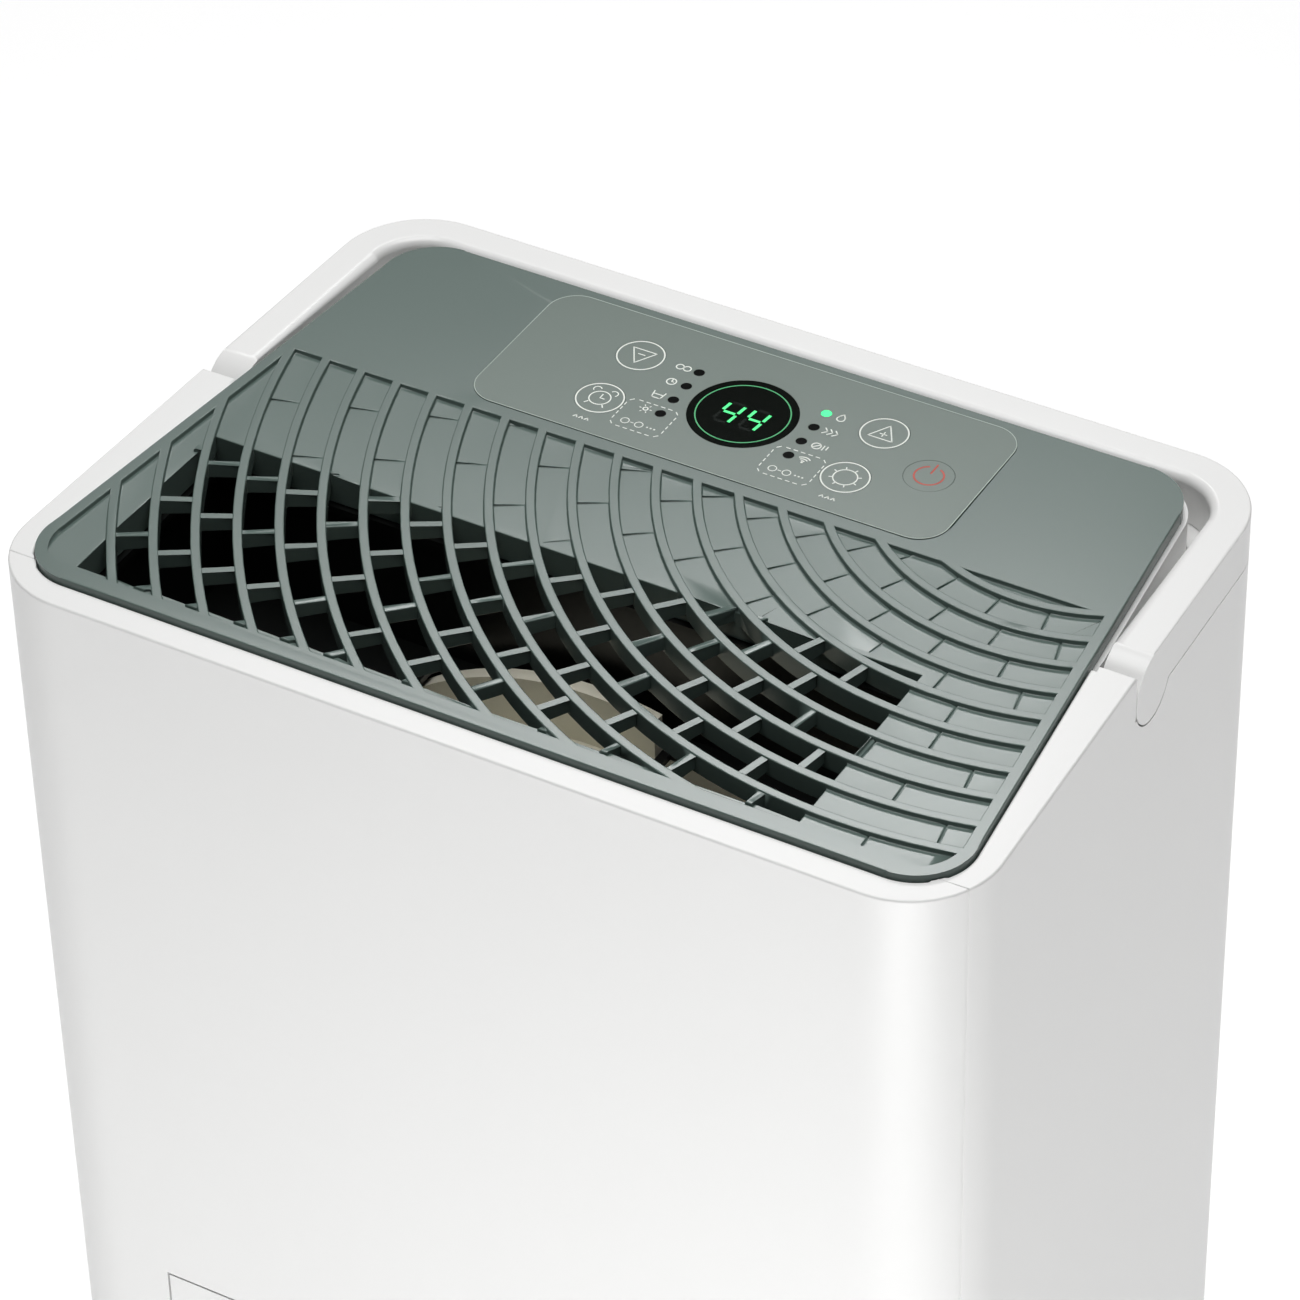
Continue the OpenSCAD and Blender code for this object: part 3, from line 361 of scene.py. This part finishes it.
def nudge(piece, rule, shift):
    """Moves the vertices that rule(place) picks."""
    activate(piece)
    bpy.ops.object.mode_set(mode="EDIT")
    bpy.ops.mesh.select_mode(type="VERT")
    bpy.ops.mesh.select_all(action="DESELECT")
    bpy.ops.object.mode_set(mode="OBJECT")
    for vertex in piece.data.vertices:
        vertex.select = rule(vertex.co)
    bpy.ops.object.mode_set(mode="EDIT")
    bpy.ops.transform.translate(value=shift)
    bpy.ops.object.mode_set(mode="OBJECT")


def soften(node, material, width, segments=2, angle=35.0, rule=None, name=None, clamp=True, smooth=40.0,
           prepare=None):
    """A copy of a CAD node with bevelled edges, which stands for the node."""
    piece = copy_node(node, name or node + "_moulded")
    if prepare:
        prepare(piece)
    if rule:
        weigh_edges(piece, rule)
    apply_modifier(piece, "BEVEL", width=width, segments=segments,
                   limit_method="WEIGHT" if rule else "ANGLE", angle_limit=math.radians(angle),
                   use_clamp_overlap=clamp, miter_outer="MITER_SHARP", harden_normals=False)
    activate(piece)
    bpy.ops.object.shade_smooth_by_angle(angle=math.radians(smooth))
    apply_modifier(piece, "WEIGHTED_NORMAL", keep_sharp=True, weight=60)
    finish_piece(piece, BODY_OF[node], material)
    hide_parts(node)
    return piece


def dress(nodes, material):
    """Gives CAD nodes whose shape is right a better material."""
    for node in nodes:
        mesh = NODES[node].data
        if not mesh.materials:
            mesh.materials.append(material)
        for i in range(len(NODES[node].material_slots)):
            NODES[node].material_slots[i].material = material


# ---- flat printed graphics -----------------------------------------------------------

class Print:
    """Collects flat strokes and joins them into one thin printed piece."""

    def __init__(self, z):
        self.z, self.parts = z, []

    def keep(self):
        self.parts.append(bpy.context.object)

    def bar(self, x0, y0, x1, y1, width):
        deselect()
        length = math.hypot(x1 - x0, y1 - y0)
        bpy.ops.mesh.primitive_plane_add(size=1, location=((x0 + x1) / 2, (y0 + y1) / 2, self.z),
                                         rotation=(0, 0, math.atan2(y1 - y0, x1 - x0)))
        bpy.context.object.scale = (length, width, 1)
        self.keep()

    def path(self, points, width, closed=False):
        ends = points[1:] + points[:1] if closed else points[1:]
        for (x0, y0), (x1, y1) in zip(points, ends):
            grow = width / 2 / max(1e-9, math.hypot(x1 - x0, y1 - y0))
            dx, dy = (x1 - x0) * grow, (y1 - y0) * grow
            self.bar(x0 - dx, y0 - dy, x1 + dx, y1 + dy, width)

    def disc(self, x, y, radius, vertices=32, turn=0.0, squash=1.0):
        deselect()
        bpy.ops.mesh.primitive_circle_add(vertices=vertices, radius=radius, fill_type="NGON",
                                          location=(x, y, self.z), rotation=(0, 0, turn))
        bpy.context.object.scale = (1, squash, 1)
        self.keep()

    def ring(self, x, y, radius, width, gap=None, vertices=64, squash=1.0):
        """A ring of outer radius; gap = (middle angle, half angle) leaves an arc open."""
        deselect()
        bpy.ops.mesh.primitive_circle_add(vertices=vertices, radius=radius, fill_type="NGON",
                                          location=(x, y, self.z))
        piece = bpy.context.object
        bpy.ops.object.mode_set(mode="EDIT")
        bpy.ops.mesh.select_all(action="SELECT")
        bpy.ops.mesh.inset(thickness=width, depth=0)
        bpy.ops.mesh.delete(type="FACE")
        bpy.ops.object.mode_set(mode="OBJECT")
        if gap:
            bpy.ops.object.mode_set(mode="EDIT")
            bpy.ops.mesh.select_all(action="DESELECT")
            bpy.ops.object.mode_set(mode="OBJECT")
            for poly in piece.data.polygons:
                c = poly.center
                off = math.atan2(c.y, c.x) - gap[0]
                off = abs((off + math.pi) % (2 * math.pi) - math.pi)
                poly.select = off < gap[1]
            bpy.ops.object.mode_set(mode="EDIT")
            bpy.ops.mesh.delete(type="FACE")
            bpy.ops.object.mode_set(mode="OBJECT")
        piece.scale = (1, squash, 1)
        self.keep()

    def dashed(self, x0, y0, x1, y1, width, dash, corner):
        """Dashed rounded box."""
        sides = ((x0 + corner, x1 - corner, y0, False), (x0 + corner, x1 - corner, y1, False),
                 (y0 + corner, y1 - corner, x0, True), (y0 + corner, y1 - corner, x1, True))
        for a, b, fixed, across in sides:
            count = max(1, round((b - a) / (2 * dash)))
            step = (b - a) / count
            for i in range(count):
                s, e = a + step * (i + 0.2), a + step * (i + 0.8)
                if across:
                    self.bar(fixed, s, fixed, e, width)
                else:
                    self.bar(s, fixed, e, fixed, width)
        for x, y, sx, sy in ((x0, y0, 1, 1), (x1, y0, -1, 1), (x0, y1, 1, -1), (x1, y1, -1, -1)):
            self.bar(x + sx * corner * 0.1, y + sy * corner * 0.6,
                     x + sx * corner * 0.6, y + sy * corner * 0.1, width)

    def finish(self, name, body, slot, material, thickness, cad_nodes=()):
        deselect()
        for part in self.parts:
            part.select_set(True)
        bpy.context.view_layer.objects.active = self.parts[0]
        if len(self.parts) > 1:
            bpy.ops.object.join()
        piece = bpy.context.object
        piece.name = name
        bpy.ops.object.transform_apply(location=True, rotation=True, scale=True)
        downward = [poly for poly in piece.data.polygons if poly.normal.z < 0]
        if downward:
            raise RuntimeError(f"{name}: {len(downward)} printed faces look down")
        apply_modifier(piece, "SOLIDIFY", thickness=thickness, offset=1.0)
        finish_piece(piece, body, material)
        if cad_nodes:
            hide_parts(*cad_nodes)
        return piece


# ---- operators ------------------------------------------------------------------------

class Piece:
    """What all the piece operators share."""
    bl_options = {"REGISTER", "UNDO"}

    @classmethod
    def poll(cls, context):
        return context.scene is not None


class DEHUMIDIFIER_OT_camera(Piece, bpy.types.Operator):
    """Set the camera in front of the right-hand corner, above the top panel"""
    bl_idname = "dehumidifier.camera"
    bl_label = "Camera"

    def execute(self, context):
        azimuth, elevation, roll = (math.radians(angle) for angle in (30.0774, 38.4019, -1.0246))
        aim = Vector((0, 0, 0.44))
        distance, move_x, move_y = 1.76034, 0.015088, 0.017847
        along = -Vector((math.sin(azimuth) * math.cos(elevation), -math.cos(azimuth) * math.cos(elevation),
                         math.sin(elevation)))
        right = Vector((math.cos(azimuth), math.sin(azimuth), 0))
        up = right.cross(along)
        side = right * math.cos(roll) + up * math.sin(roll)
        upright = up * math.cos(roll) - right * math.sin(roll)
        eye = aim - along * distance + side * move_x + upright * move_y
        data = bpy.data.cameras.new("studio_camera")
        data.sensor_width = 36.0
        data.lens = 155.40674
        data.shift_x, data.shift_y = -0.0324346, -0.02364
        data.clip_start, data.clip_end = 0.05, 60
        camera = bpy.data.objects.new("studio_camera", data)
        context.scene.collection.objects.link(camera)
        turn = Matrix((side, upright, -along)).transposed()
        camera.matrix_world = Matrix.Translation(eye) @ turn.to_4x4()
        context.scene.camera = camera
        return {"FINISHED"}


class DEHUMIDIFIER_OT_materials(Piece, bpy.types.Operator):
    """Make every finish of the object"""
    bl_idname = "dehumidifier.materials"
    bl_label = "Materials"

    def execute(self, context):
        make_materials(context.scene.dehumidifier_case, context.scene.dehumidifier_panel)
        return {"FINISHED"}


class DEHUMIDIFIER_OT_shells(Piece, bpy.types.Operator):
    """Round the outer top edge of the front and rear shells and give them their plastic"""
    bl_idname = "dehumidifier.shells"
    bl_label = "Shells"

    def execute(self, context):
        case = context.scene.dehumidifier_case

        inner = case.rim_inner_fillet / case.rim_fillet
        seam_zone = 1 * MM              # inner edges stay sharp this near the seam

        def top_edges(ends, near):
            side = rim_side(ends, near)
            if side < 0 and min(abs(p.y - SEAM_Y) for p in ends) < seam_zone:
                return 0.0
            return {0: 0.0, 1: 1.0, -1: inner}[side]

        def close_seam(piece):
            nudge(piece, lambda co: abs(co.y - SEAM_Y) < 0.01 * MM, (0, case.seam_fill, 0))

        soften("front_shell", MATERIALS["white_abs"], case.rim_fillet, 4, rule=top_edges, clamp=False,
               smooth=30, prepare=close_seam)
        soften("rear_shell", MATERIALS["white_abs"], case.rim_fillet, 4, rule=top_edges, clamp=False,
               smooth=30)
        return {"FINISHED"}


class DEHUMIDIFIER_OT_handle(Piece, bpy.types.Operator):
    """Round the carry handle"""
    bl_idname = "dehumidifier.handle"
    bl_label = "Carry handle"

    def execute(self, context):
        case = context.scene.dehumidifier_case
        outer = case.rim_fillet / case.handle_fillet

        def top_edges(ends, near):
            return {0: 0.0, 1: outer, -1: 1.0}[rim_side(ends, near)]

        soften("handle", MATERIALS["white_abs"], case.handle_fillet, 6, rule=top_edges, clamp=False,
               smooth=30)
        return {"FINISHED"}


class DEHUMIDIFIER_OT_top_panel(Piece, bpy.types.Operator):
    """Break the edges of the sage top panel with its ribs"""
    bl_idname = "dehumidifier.top_panel"
    bl_label = "Top panel"

    def execute(self, context):
        case = context.scene.dehumidifier_case
        shortest, sharpest = 1.6 * MM, math.radians(35)

        def crisp_edges(ends, near):
            """The panel's rim and the long edges of its ribs; the shortest cut edges stay sharp."""
            long_enough = (ends[0] - ends[1]).length >= shortest
            return 1.0 if long_enough and near[0].normal.angle(near[1].normal) >= sharpest else 0.0

        soften("top_plate", MATERIALS["sage_abs"], case.edge_break, 2, rule=crisp_edges, clamp=False)
        dress(["top_frame"], MATERIALS["white_abs"])
        return {"FINISHED"}


class DEHUMIDIFIER_OT_controls(Piece, bpy.types.Operator):
    """Film, lens, lamps and the board under them"""
    bl_idname = "dehumidifier.controls"
    bl_label = "Controls"

    def execute(self, context):
        panel = context.scene.dehumidifier_panel
        m = MATERIALS
        dress(["control_film"], m["pet_film"])
        dress(["display_lens"], m["acrylic"])
        dress(["led_lenses"], m["led_off"])
        dress(["led_lens_lit"], m["led_lit"])
        dress(["display_module", "tact_switches"], m["black_abs"])
        dress(["control_board", "uv_lamp_board"], m["solder_mask"])

        # the film's cut edge: a fine bright outline, a painted highlight along the edge
        deselect()
        width, depth = FILM_HIGH.x - FILM_LOW.x, FILM_HIGH.y - FILM_LOW.y
        centre = ((FILM_LOW.x + FILM_HIGH.x) / 2, (FILM_LOW.y + FILM_HIGH.y) / 2, FILM_TOP)
        bpy.ops.mesh.primitive_plane_add(size=1, location=centre)
        edge = bpy.context.object
        edge.name = "film_edge_line"
        edge.scale = (width, depth, 1)
        bpy.ops.object.transform_apply(location=True, rotation=True, scale=True)
        bpy.ops.object.mode_set(mode="EDIT")
        bpy.ops.mesh.select_all(action="SELECT")
        bpy.ops.mesh.bevel(offset=panel.film_corner, segments=16, affect="VERTICES", clamp_overlap=False)
        bpy.ops.mesh.select_all(action="SELECT")
        bpy.ops.mesh.inset(thickness=panel.edge_highlight_width, depth=0)
        bpy.ops.mesh.delete(type="FACE")
        bpy.ops.object.mode_set(mode="OBJECT")
        apply_modifier(edge, "SOLIDIFY", thickness=panel.ink_height, offset=1.0)
        finish_piece(edge, BODY_OF["control_film"], m["film_edge"])
        return {"FINISHED"}


class DEHUMIDIFIER_OT_keys(Piece, bpy.types.Operator):
    """The five keys, each with its printed symbol"""
    bl_idname = "dehumidifier.keys"
    bl_label = "Keys"

    def execute(self, context):
        panel = context.scene.dehumidifier_panel
        w, ink, m = panel.line_width, panel.ink_height, MATERIALS
        drop = 0.04 * MM                # leaves room for the ink under the frame's highest point
        top = KEY_TOP - drop

        def lower_top(piece):
            nudge(piece, lambda co: co.z > KEY_TOP - 0.01 * MM, (0, 0, -drop))

        drawings = {"key_minus": self.minus, "key_timer": self.clock, "key_plus": self.plus,
                    "key_mode": self.sun, "key_power": self.power}
        for node, draw in drawings.items():
            body, slot = BODY_OF[node], SLOT_OF[node]
            soften(node, m["pet_film"], 0.12 * MM, 2, angle=60, name=node + "_cap", smooth=30, clamp=False,
                   prepare=lower_top)
            centre = middle(node)
            symbol = Print(top)
            if node != "key_power":
                symbol.ring(centre.x, centre.y, panel.key_ring, w)
            draw(symbol, centre.x, centre.y, w)
            colour = m["red_ink" if node == "key_power" else "white_ink"]
            symbol.finish(node + "_symbol", body, slot, colour, ink)
        return {"FINISHED"}

    def triangle(self, symbol, x, y, w, way):
        corners = [(x + 4.9 * MM * math.cos(a), y + 4.9 * MM * math.sin(a) * way - 0.6 * MM * way)
                   for a in (math.radians(90), math.radians(210), math.radians(330))]
        symbol.path(corners, w * 0.8, closed=True)

    def minus(self, symbol, x, y, w):
        self.triangle(symbol, x, y, w, -1)
        symbol.bar(x - 1.3 * MM, y + 0.6 * MM, x + 1.3 * MM, y + 0.6 * MM, w * 0.8)

    def plus(self, symbol, x, y, w):
        self.triangle(symbol, x, y, w, 1)
        symbol.bar(x - 1.3 * MM, y - 0.6 * MM, x + 1.3 * MM, y - 0.6 * MM, w * 0.8)
        symbol.bar(x, y - 1.9 * MM, x, y + 0.7 * MM, w * 0.8)

    def clock(self, symbol, x, y, w):
        """Alarm clock: face, two hands, two bells and two feet."""
        symbol.ring(x, y, 3.7 * MM, w * 0.8)
        symbol.bar(x, y, x, y + 2.2 * MM, w * 0.8)
        symbol.bar(x - w * 0.4, y, x + 1.7 * MM, y, w * 0.8)
        for side in (-1, 1):
            a = math.radians(90 - 38 * side)
            bell_x, bell_y = x + 4.9 * MM * math.cos(a), y + 4.9 * MM * math.sin(a)
            symbol.ring(bell_x, bell_y, 1.5 * MM, w * 0.7, gap=(a + math.pi, 1.35))
            symbol.bar(x + side * 2.5 * MM, y - 3.0 * MM, x + side * 3.4 * MM, y - 4.3 * MM, w * 0.8)

    def sun(self, symbol, x, y, w):
        symbol.ring(x, y, 4.1 * MM, w * 0.85)
        for i in range(8):
            a = math.radians(22.5 + 45 * i)
            symbol.bar(x + 3.9 * MM * math.cos(a), y + 3.9 * MM * math.sin(a),
                       x + 5.2 * MM * math.cos(a), y + 5.2 * MM * math.sin(a), w * 0.8)

    def power(self, symbol, x, y, w):
        symbol.ring(x, y, 5.0 * MM, w * 1.15, gap=(math.pi / 2, 0.42))
        symbol.bar(x, y + 1.2 * MM, x, y + 6.4 * MM, w * 1.15)


class DEHUMIDIFIER_OT_display(Piece, bpy.types.Operator):
    """Lit ring and two seven-segment digits of the display"""
    bl_idname = "dehumidifier.display"
    bl_label = "Display"

    LIT = ("abcdef", "bc", "abged", "abgcd", "fgbc", "afgcd", "afgedc", "abc", "abcdefg", "abcfgd")

    def execute(self, context):
        panel = context.scene.dehumidifier_panel
        m, ink = MATERIALS, panel.ink_height
        body, slot = BODY_OF["display_lens"], SLOT_OF["display_lens"]
        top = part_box("display_lens")[1].z
        ring = Print(top)
        ring.ring(LENS.x, LENS.y, panel.ring_radius, 0.42 * MM, vertices=128)
        ring.finish("display_ring", body, slot, m["ring_lit"], ink)
        on, off = Print(top), Print(top)
        high, wide, stroke = panel.digit_height, panel.digit_height * 0.50, 1.05 * MM
        lean = math.tan(math.radians(7))
        for place, digit in zip((-0.62, 0.62), (panel.humidity // 10, panel.humidity % 10)):
            cx, cy = LENS.x + 0.4 * MM + place * (wide + 2.0 * MM), LENS.y - 1.4 * MM
            h, v, gap = wide / 2, high / 2, stroke * 0.62
            ends = {"a": (-h, v, h, v), "b": (h, v, h, 0), "c": (h, 0, h, -v), "d": (-h, -v, h, -v),
                    "e": (-h, 0, -h, -v), "f": (-h, v, -h, 0), "g": (-h, 0, h, 0)}
            for name, (x0, y0, x1, y1) in ends.items():
                length = math.hypot(x1 - x0, y1 - y0)
                dx, dy = (x1 - x0) / length * gap, (y1 - y0) / length * gap
                x0, y0, x1, y1 = x0 + dx, y0 + dy, x1 - dx, y1 - dy
                target = on if name in self.LIT[digit] else off
                target.bar(cx + x0 + y0 * lean, cy + y0, cx + x1 + y1 * lean, cy + y1, stroke)
        on.finish("display_segments_lit", body, slot, m["digit_lit"], ink)
        off.finish("display_segments_unlit", body, slot, m["digit_off"], ink * 0.5)
        return {"FINISHED"}


class DEHUMIDIFIER_OT_symbols(Piece, bpy.types.Operator):
    """Generic pictograms beside the lamps and the dashed hint boxes on the film"""
    bl_idname = "dehumidifier.symbols"
    bl_label = "Film symbols"

    def execute(self, context):
        panel = context.scene.dehumidifier_panel
        art = Print(FILM_TOP)
        w = panel.line_width * 0.85
        rows = [LENS.y + d * MM for d in (12.7, 4.4, -3.9, -12.2)]
        marks = ((28.4, rows[0], self.drop), (28.6, rows[1], self.chevrons),
                 (28.4, rows[2], self.leaf), (28.4, rows[3], self.waves),
                 (-28.6, rows[0], self.loop), (-28.4, rows[1], self.dial),
                 (-28.6, rows[2], self.tank), (-28.4, rows[3], self.lamp))
        for x, y, draw in marks:
            draw(art, x * MM, y, w)
        for side in (-1, 1):
            x0, x1 = sorted((side * 17.5 * MM, side * 35.4 * MM))
            y0, y1 = LENS.y - 24.2 * MM, LENS.y - 9.0 * MM
            art.dashed(x0, y0, x1, y1, w * 0.8, 1.3 * MM, 2.4 * MM)
            # hint inside the box: two little keys held together
            mid, line = (x0 + x1) / 2, y0 + 3.6 * MM
            for dx in (-4.6, 0.4):
                art.ring(mid + dx * MM, line, 1.5 * MM, w * 0.7)
            art.bar(mid - 2.7 * MM, line, mid - 1.5 * MM, line, w * 0.7)
            for dx in (3.4, 4.7, 6.0):
                art.disc(mid + dx * MM, line, 0.35 * MM, 12)
            # mark under the lower key
            for dx in (-2.0, 0.0, 2.0):
                x, foot, peak = (side * 44 + dx) * MM, LENS.y - 26.2 * MM, LENS.y - 25.2 * MM
                art.path([(x - 0.6 * MM, foot), (x, peak), (x + 0.6 * MM, foot)], w)
        art.finish("film_symbols", BODY_OF["control_film"], SLOT_OF["control_film"], MATERIALS["white_ink"],
                   panel.ink_height)
        return {"FINISHED"}

    def drop(self, art, x, y, w):
        art.ring(x, y - 0.5 * MM, 1.5 * MM, w, gap=(math.pi / 2, 0.7))
        art.path([(x - 1.15 * MM, y + 0.35 * MM), (x, y + 2.0 * MM), (x + 1.15 * MM, y + 0.35 * MM)], w)

    def chevrons(self, art, x, y, w):
        for dx in (-1.3, 0.5, 2.3):
            left, tip = x + (dx - 0.7) * MM, x + (dx + 0.6) * MM
            art.path([(left, y + 1.4 * MM), (tip, y), (left, y - 1.4 * MM)], w)

    def leaf(self, art, x, y, w):
        art.ring(x, y, 1.7 * MM, w)
        art.bar(x - 1.1 * MM, y - 1.1 * MM, x + 1.1 * MM, y + 1.1 * MM, w)
        art.bar(x + 2.4 * MM, y - 1.3 * MM, x + 2.4 * MM, y + 1.3 * MM, w)
        art.bar(x + 3.6 * MM, y - 0.7 * MM, x + 3.6 * MM, y + 1.3 * MM, w)

    def waves(self, art, x, y, w):
        for r in (1.0, 2.0, 3.0):
            art.ring(x, y - 1.4 * MM, r * MM, w, gap=(-math.pi / 2, 2.4))
        art.disc(x, y - 1.4 * MM, 0.4 * MM, 12)

    def loop(self, art, x, y, w):
        for dx in (-1.3, 1.3):
            art.ring(x + dx * MM, y, 1.45 * MM, w)

    def dial(self, art, x, y, w):
        art.ring(x, y, 1.8 * MM, w)
        art.bar(x, y, x, y + 1.3 * MM, w)
        art.bar(x, y, x + 0.9 * MM, y, w)

    def tank(self, art, x, y, w):
        art.path([(x - 2.0 * MM, y + 1.6 * MM), (x - 1.5 * MM, y - 1.6 * MM), (x + 1.5 * MM, y - 1.6 * MM),
                  (x + 2.0 * MM, y + 1.6 * MM)], w)
        art.bar(x - 1.7 * MM, y + 0.3 * MM, x + 1.7 * MM, y + 0.3 * MM, w)

    def lamp(self, art, x, y, w):
        art.ring(x, y, 1.0 * MM, w)
        for i in range(6):
            a = math.radians(60 * i)
            art.bar(x + 1.5 * MM * math.cos(a), y + 1.5 * MM * math.sin(a),
                    x + 2.2 * MM * math.cos(a), y + 2.2 * MM * math.sin(a), w * 0.8)


class DEHUMIDIFIER_OT_insides(Piece, bpy.types.Operator):
    """Air path, cooling circuit, bucket, filter and castors"""
    bl_idname = "dehumidifier.insides"
    bl_label = "Insides and running gear"

    def execute(self, context):
        m = MATERIALS
        dress(["outlet_duct", "base_pan", "drip_tray", "fan_impeller", "terminal_cover", "power_box",
               "bucket_lid", "float_switch", "filter_frame", "cord_gland", "castor_fork_left",
               "castor_fork_right", "rear_castor_forks"], m["black_abs"])
        dress(["scroll_front", "scroll_rear", "float"], m["cream_abs"])
        dress(["handle_pins", "motor_shaft", "fan_motor", "coil_end_plates", "compressor_bolts",
               "shell_screws", "castor_axle_left", "castor_axle_right", "rear_castor_axles"],
              m["zinc_steel"])
        dress(["evaporator_fins", "condenser_fins"], m["fin_aluminium"])
        dress(["evaporator_tubes", "condenser_tubes", "discharge_pipe", "suction_pipe", "capillary_tube"],
              m["drawn_copper"])
        dress(["compressor"], m["black_enamel"])
        dress(["compressor_mounts"], m["rubber"])
        for node in ("bucket", "intake_grille"):
            soften(node, m["white_abs"], 0.6 * MM, 2, angle=50, clamp=True)
        dress(["filter_mesh"], m["nylon_mesh"])
        dress(["wheel_front_left", "wheel_front_right", "wheel_rear_left", "wheel_rear_right"], m["tyre"])
        return {"FINISHED"}


class DEHUMIDIFIER_OT_stage(Piece, bpy.types.Operator):
    """Pale floor, soft lights and dim surroundings"""
    bl_idname = "dehumidifier.stage"
    bl_label = "Stage"

    def execute(self, context):
        deselect()
        bpy.ops.mesh.primitive_circle_add(vertices=96, radius=9.0, fill_type="NGON", location=(0, 0, 0))
        floor = bpy.context.object
        floor.name = "studio_floor"
        material, tree, place = new_material("matt_white_paint")
        cloud = add_node(tree, "ShaderNodeTexNoise", values={"Scale": 2.0, "Detail": 2.0},
                         links={"Vector": (place, "Object")})
        tone = add_node(tree, "ShaderNodeMix", {"data_type": "RGBA"},
                        {6: (0.93, 0.93, 0.93, 1), 7: (0.96, 0.96, 0.96, 1)}, {0: (cloud, "Fac")})
        shader = add_node(tree, "ShaderNodeBsdfPrincipled",
                          values={"Roughness": 0.9, "Specular IOR Level": 0.1,
                                  "Emission Color": (1, 1, 1, 1), "Emission Strength": 0.41},
                          links={"Base Color": (tone, 2)})
        add_node(tree, "ShaderNodeOutputMaterial", links={"Surface": (shader, "BSDF")})
        floor.data.materials.append(material)

        def softbox(name, eye, aim, size, power):
            data = bpy.data.lights.new(name, "AREA")
            data.shape, data.size, data.size_y = "RECTANGLE", size[0], size[1]
            data.energy = power
            lamp = bpy.data.objects.new(name, data)
            lamp.location = eye
            lamp.rotation_euler = (Vector(aim) - Vector(eye)).to_track_quat("-Z", "Y").to_euler()
            context.scene.collection.objects.link(lamp)

        softbox("overhead", (0.0, 0.0, 2.6), (0, 0, 0.45), (1.6, 1.6), 44)
        softbox("sheen_low", (-1.5, 2.6, 3.12), (0, 0, 0.5), (1.1, 0.3), 5.5)
        softbox("sheen_high", (-1.5, 2.6, 3.42), (0, 0, 0.5), (1.1, 0.3), 17)
        softbox("corner_fill", (0.45, -0.65, 0.06), (0.15, -0.1, 0.35), (0.6, 0.3), 3.4)
        softbox("front_fill", (0.1, -0.75, 0.05), (0.0, -0.117, 0.35), (0.8, 0.3), 1.7)
        world = bpy.data.worlds.new("studio_surroundings")
        context.scene.world = world
        world.use_nodes = True
        tree = world.node_tree
        tree.nodes.clear()
        sky = add_node(tree, "ShaderNodeBackground", values={"Color": (1, 1, 1, 1), "Strength": 0.05})
        add_node(tree, "ShaderNodeOutputWorld", links={"Surface": (sky, "Background")})
        context.scene.view_settings.view_transform = "Standard"
        return {"FINISHED"}


class DEHUMIDIFIER_PT_sidebar(bpy.types.Panel):
    """Lists the pieces of the dehumidifier and their values"""
    bl_idname = "DEHUMIDIFIER_PT_sidebar"
    bl_label = "Dehumidifier"
    bl_space_type = "VIEW_3D"
    bl_region_type = "UI"
    bl_category = "Dehumidifier"

    def draw(self, context):
        for group in (context.scene.dehumidifier_case, context.scene.dehumidifier_panel):
            box = self.layout.box()
            for name in group.__annotations__:
                box.prop(group, name)
        for step in STEPS:
            self.layout.operator(step.bl_idname)


STEPS = (DEHUMIDIFIER_OT_camera, DEHUMIDIFIER_OT_materials, DEHUMIDIFIER_OT_stage, DEHUMIDIFIER_OT_shells,
         DEHUMIDIFIER_OT_handle, DEHUMIDIFIER_OT_top_panel, DEHUMIDIFIER_OT_controls, DEHUMIDIFIER_OT_keys,
         DEHUMIDIFIER_OT_display, DEHUMIDIFIER_OT_symbols, DEHUMIDIFIER_OT_insides)
GROUPS = (DEHUMIDIFIER_PG_case, DEHUMIDIFIER_PG_panel)


def register():
    for cls in (*GROUPS, *STEPS, DEHUMIDIFIER_PT_sidebar):
        bpy.utils.register_class(cls)
    bpy.types.Scene.dehumidifier_case = bpy.props.PointerProperty(type=DEHUMIDIFIER_PG_case)
    bpy.types.Scene.dehumidifier_panel = bpy.props.PointerProperty(type=DEHUMIDIFIER_PG_panel)


def unregister():
    del bpy.types.Scene.dehumidifier_panel
    del bpy.types.Scene.dehumidifier_case
    for cls in (DEHUMIDIFIER_PT_sidebar, *reversed(STEPS), *reversed(GROUPS)):
        bpy.utils.unregister_class(cls)


def corners(box):
    """A box's two corners as plain lists."""
    return [[float(v) for v in corner] for corner in box]


def main():
    register()
    for step in STEPS:
        group, name = step.bl_idname.split(".")
        getattr(getattr(bpy.ops, group), name)()
    deselect()


if __name__ == "__main__":
    main()
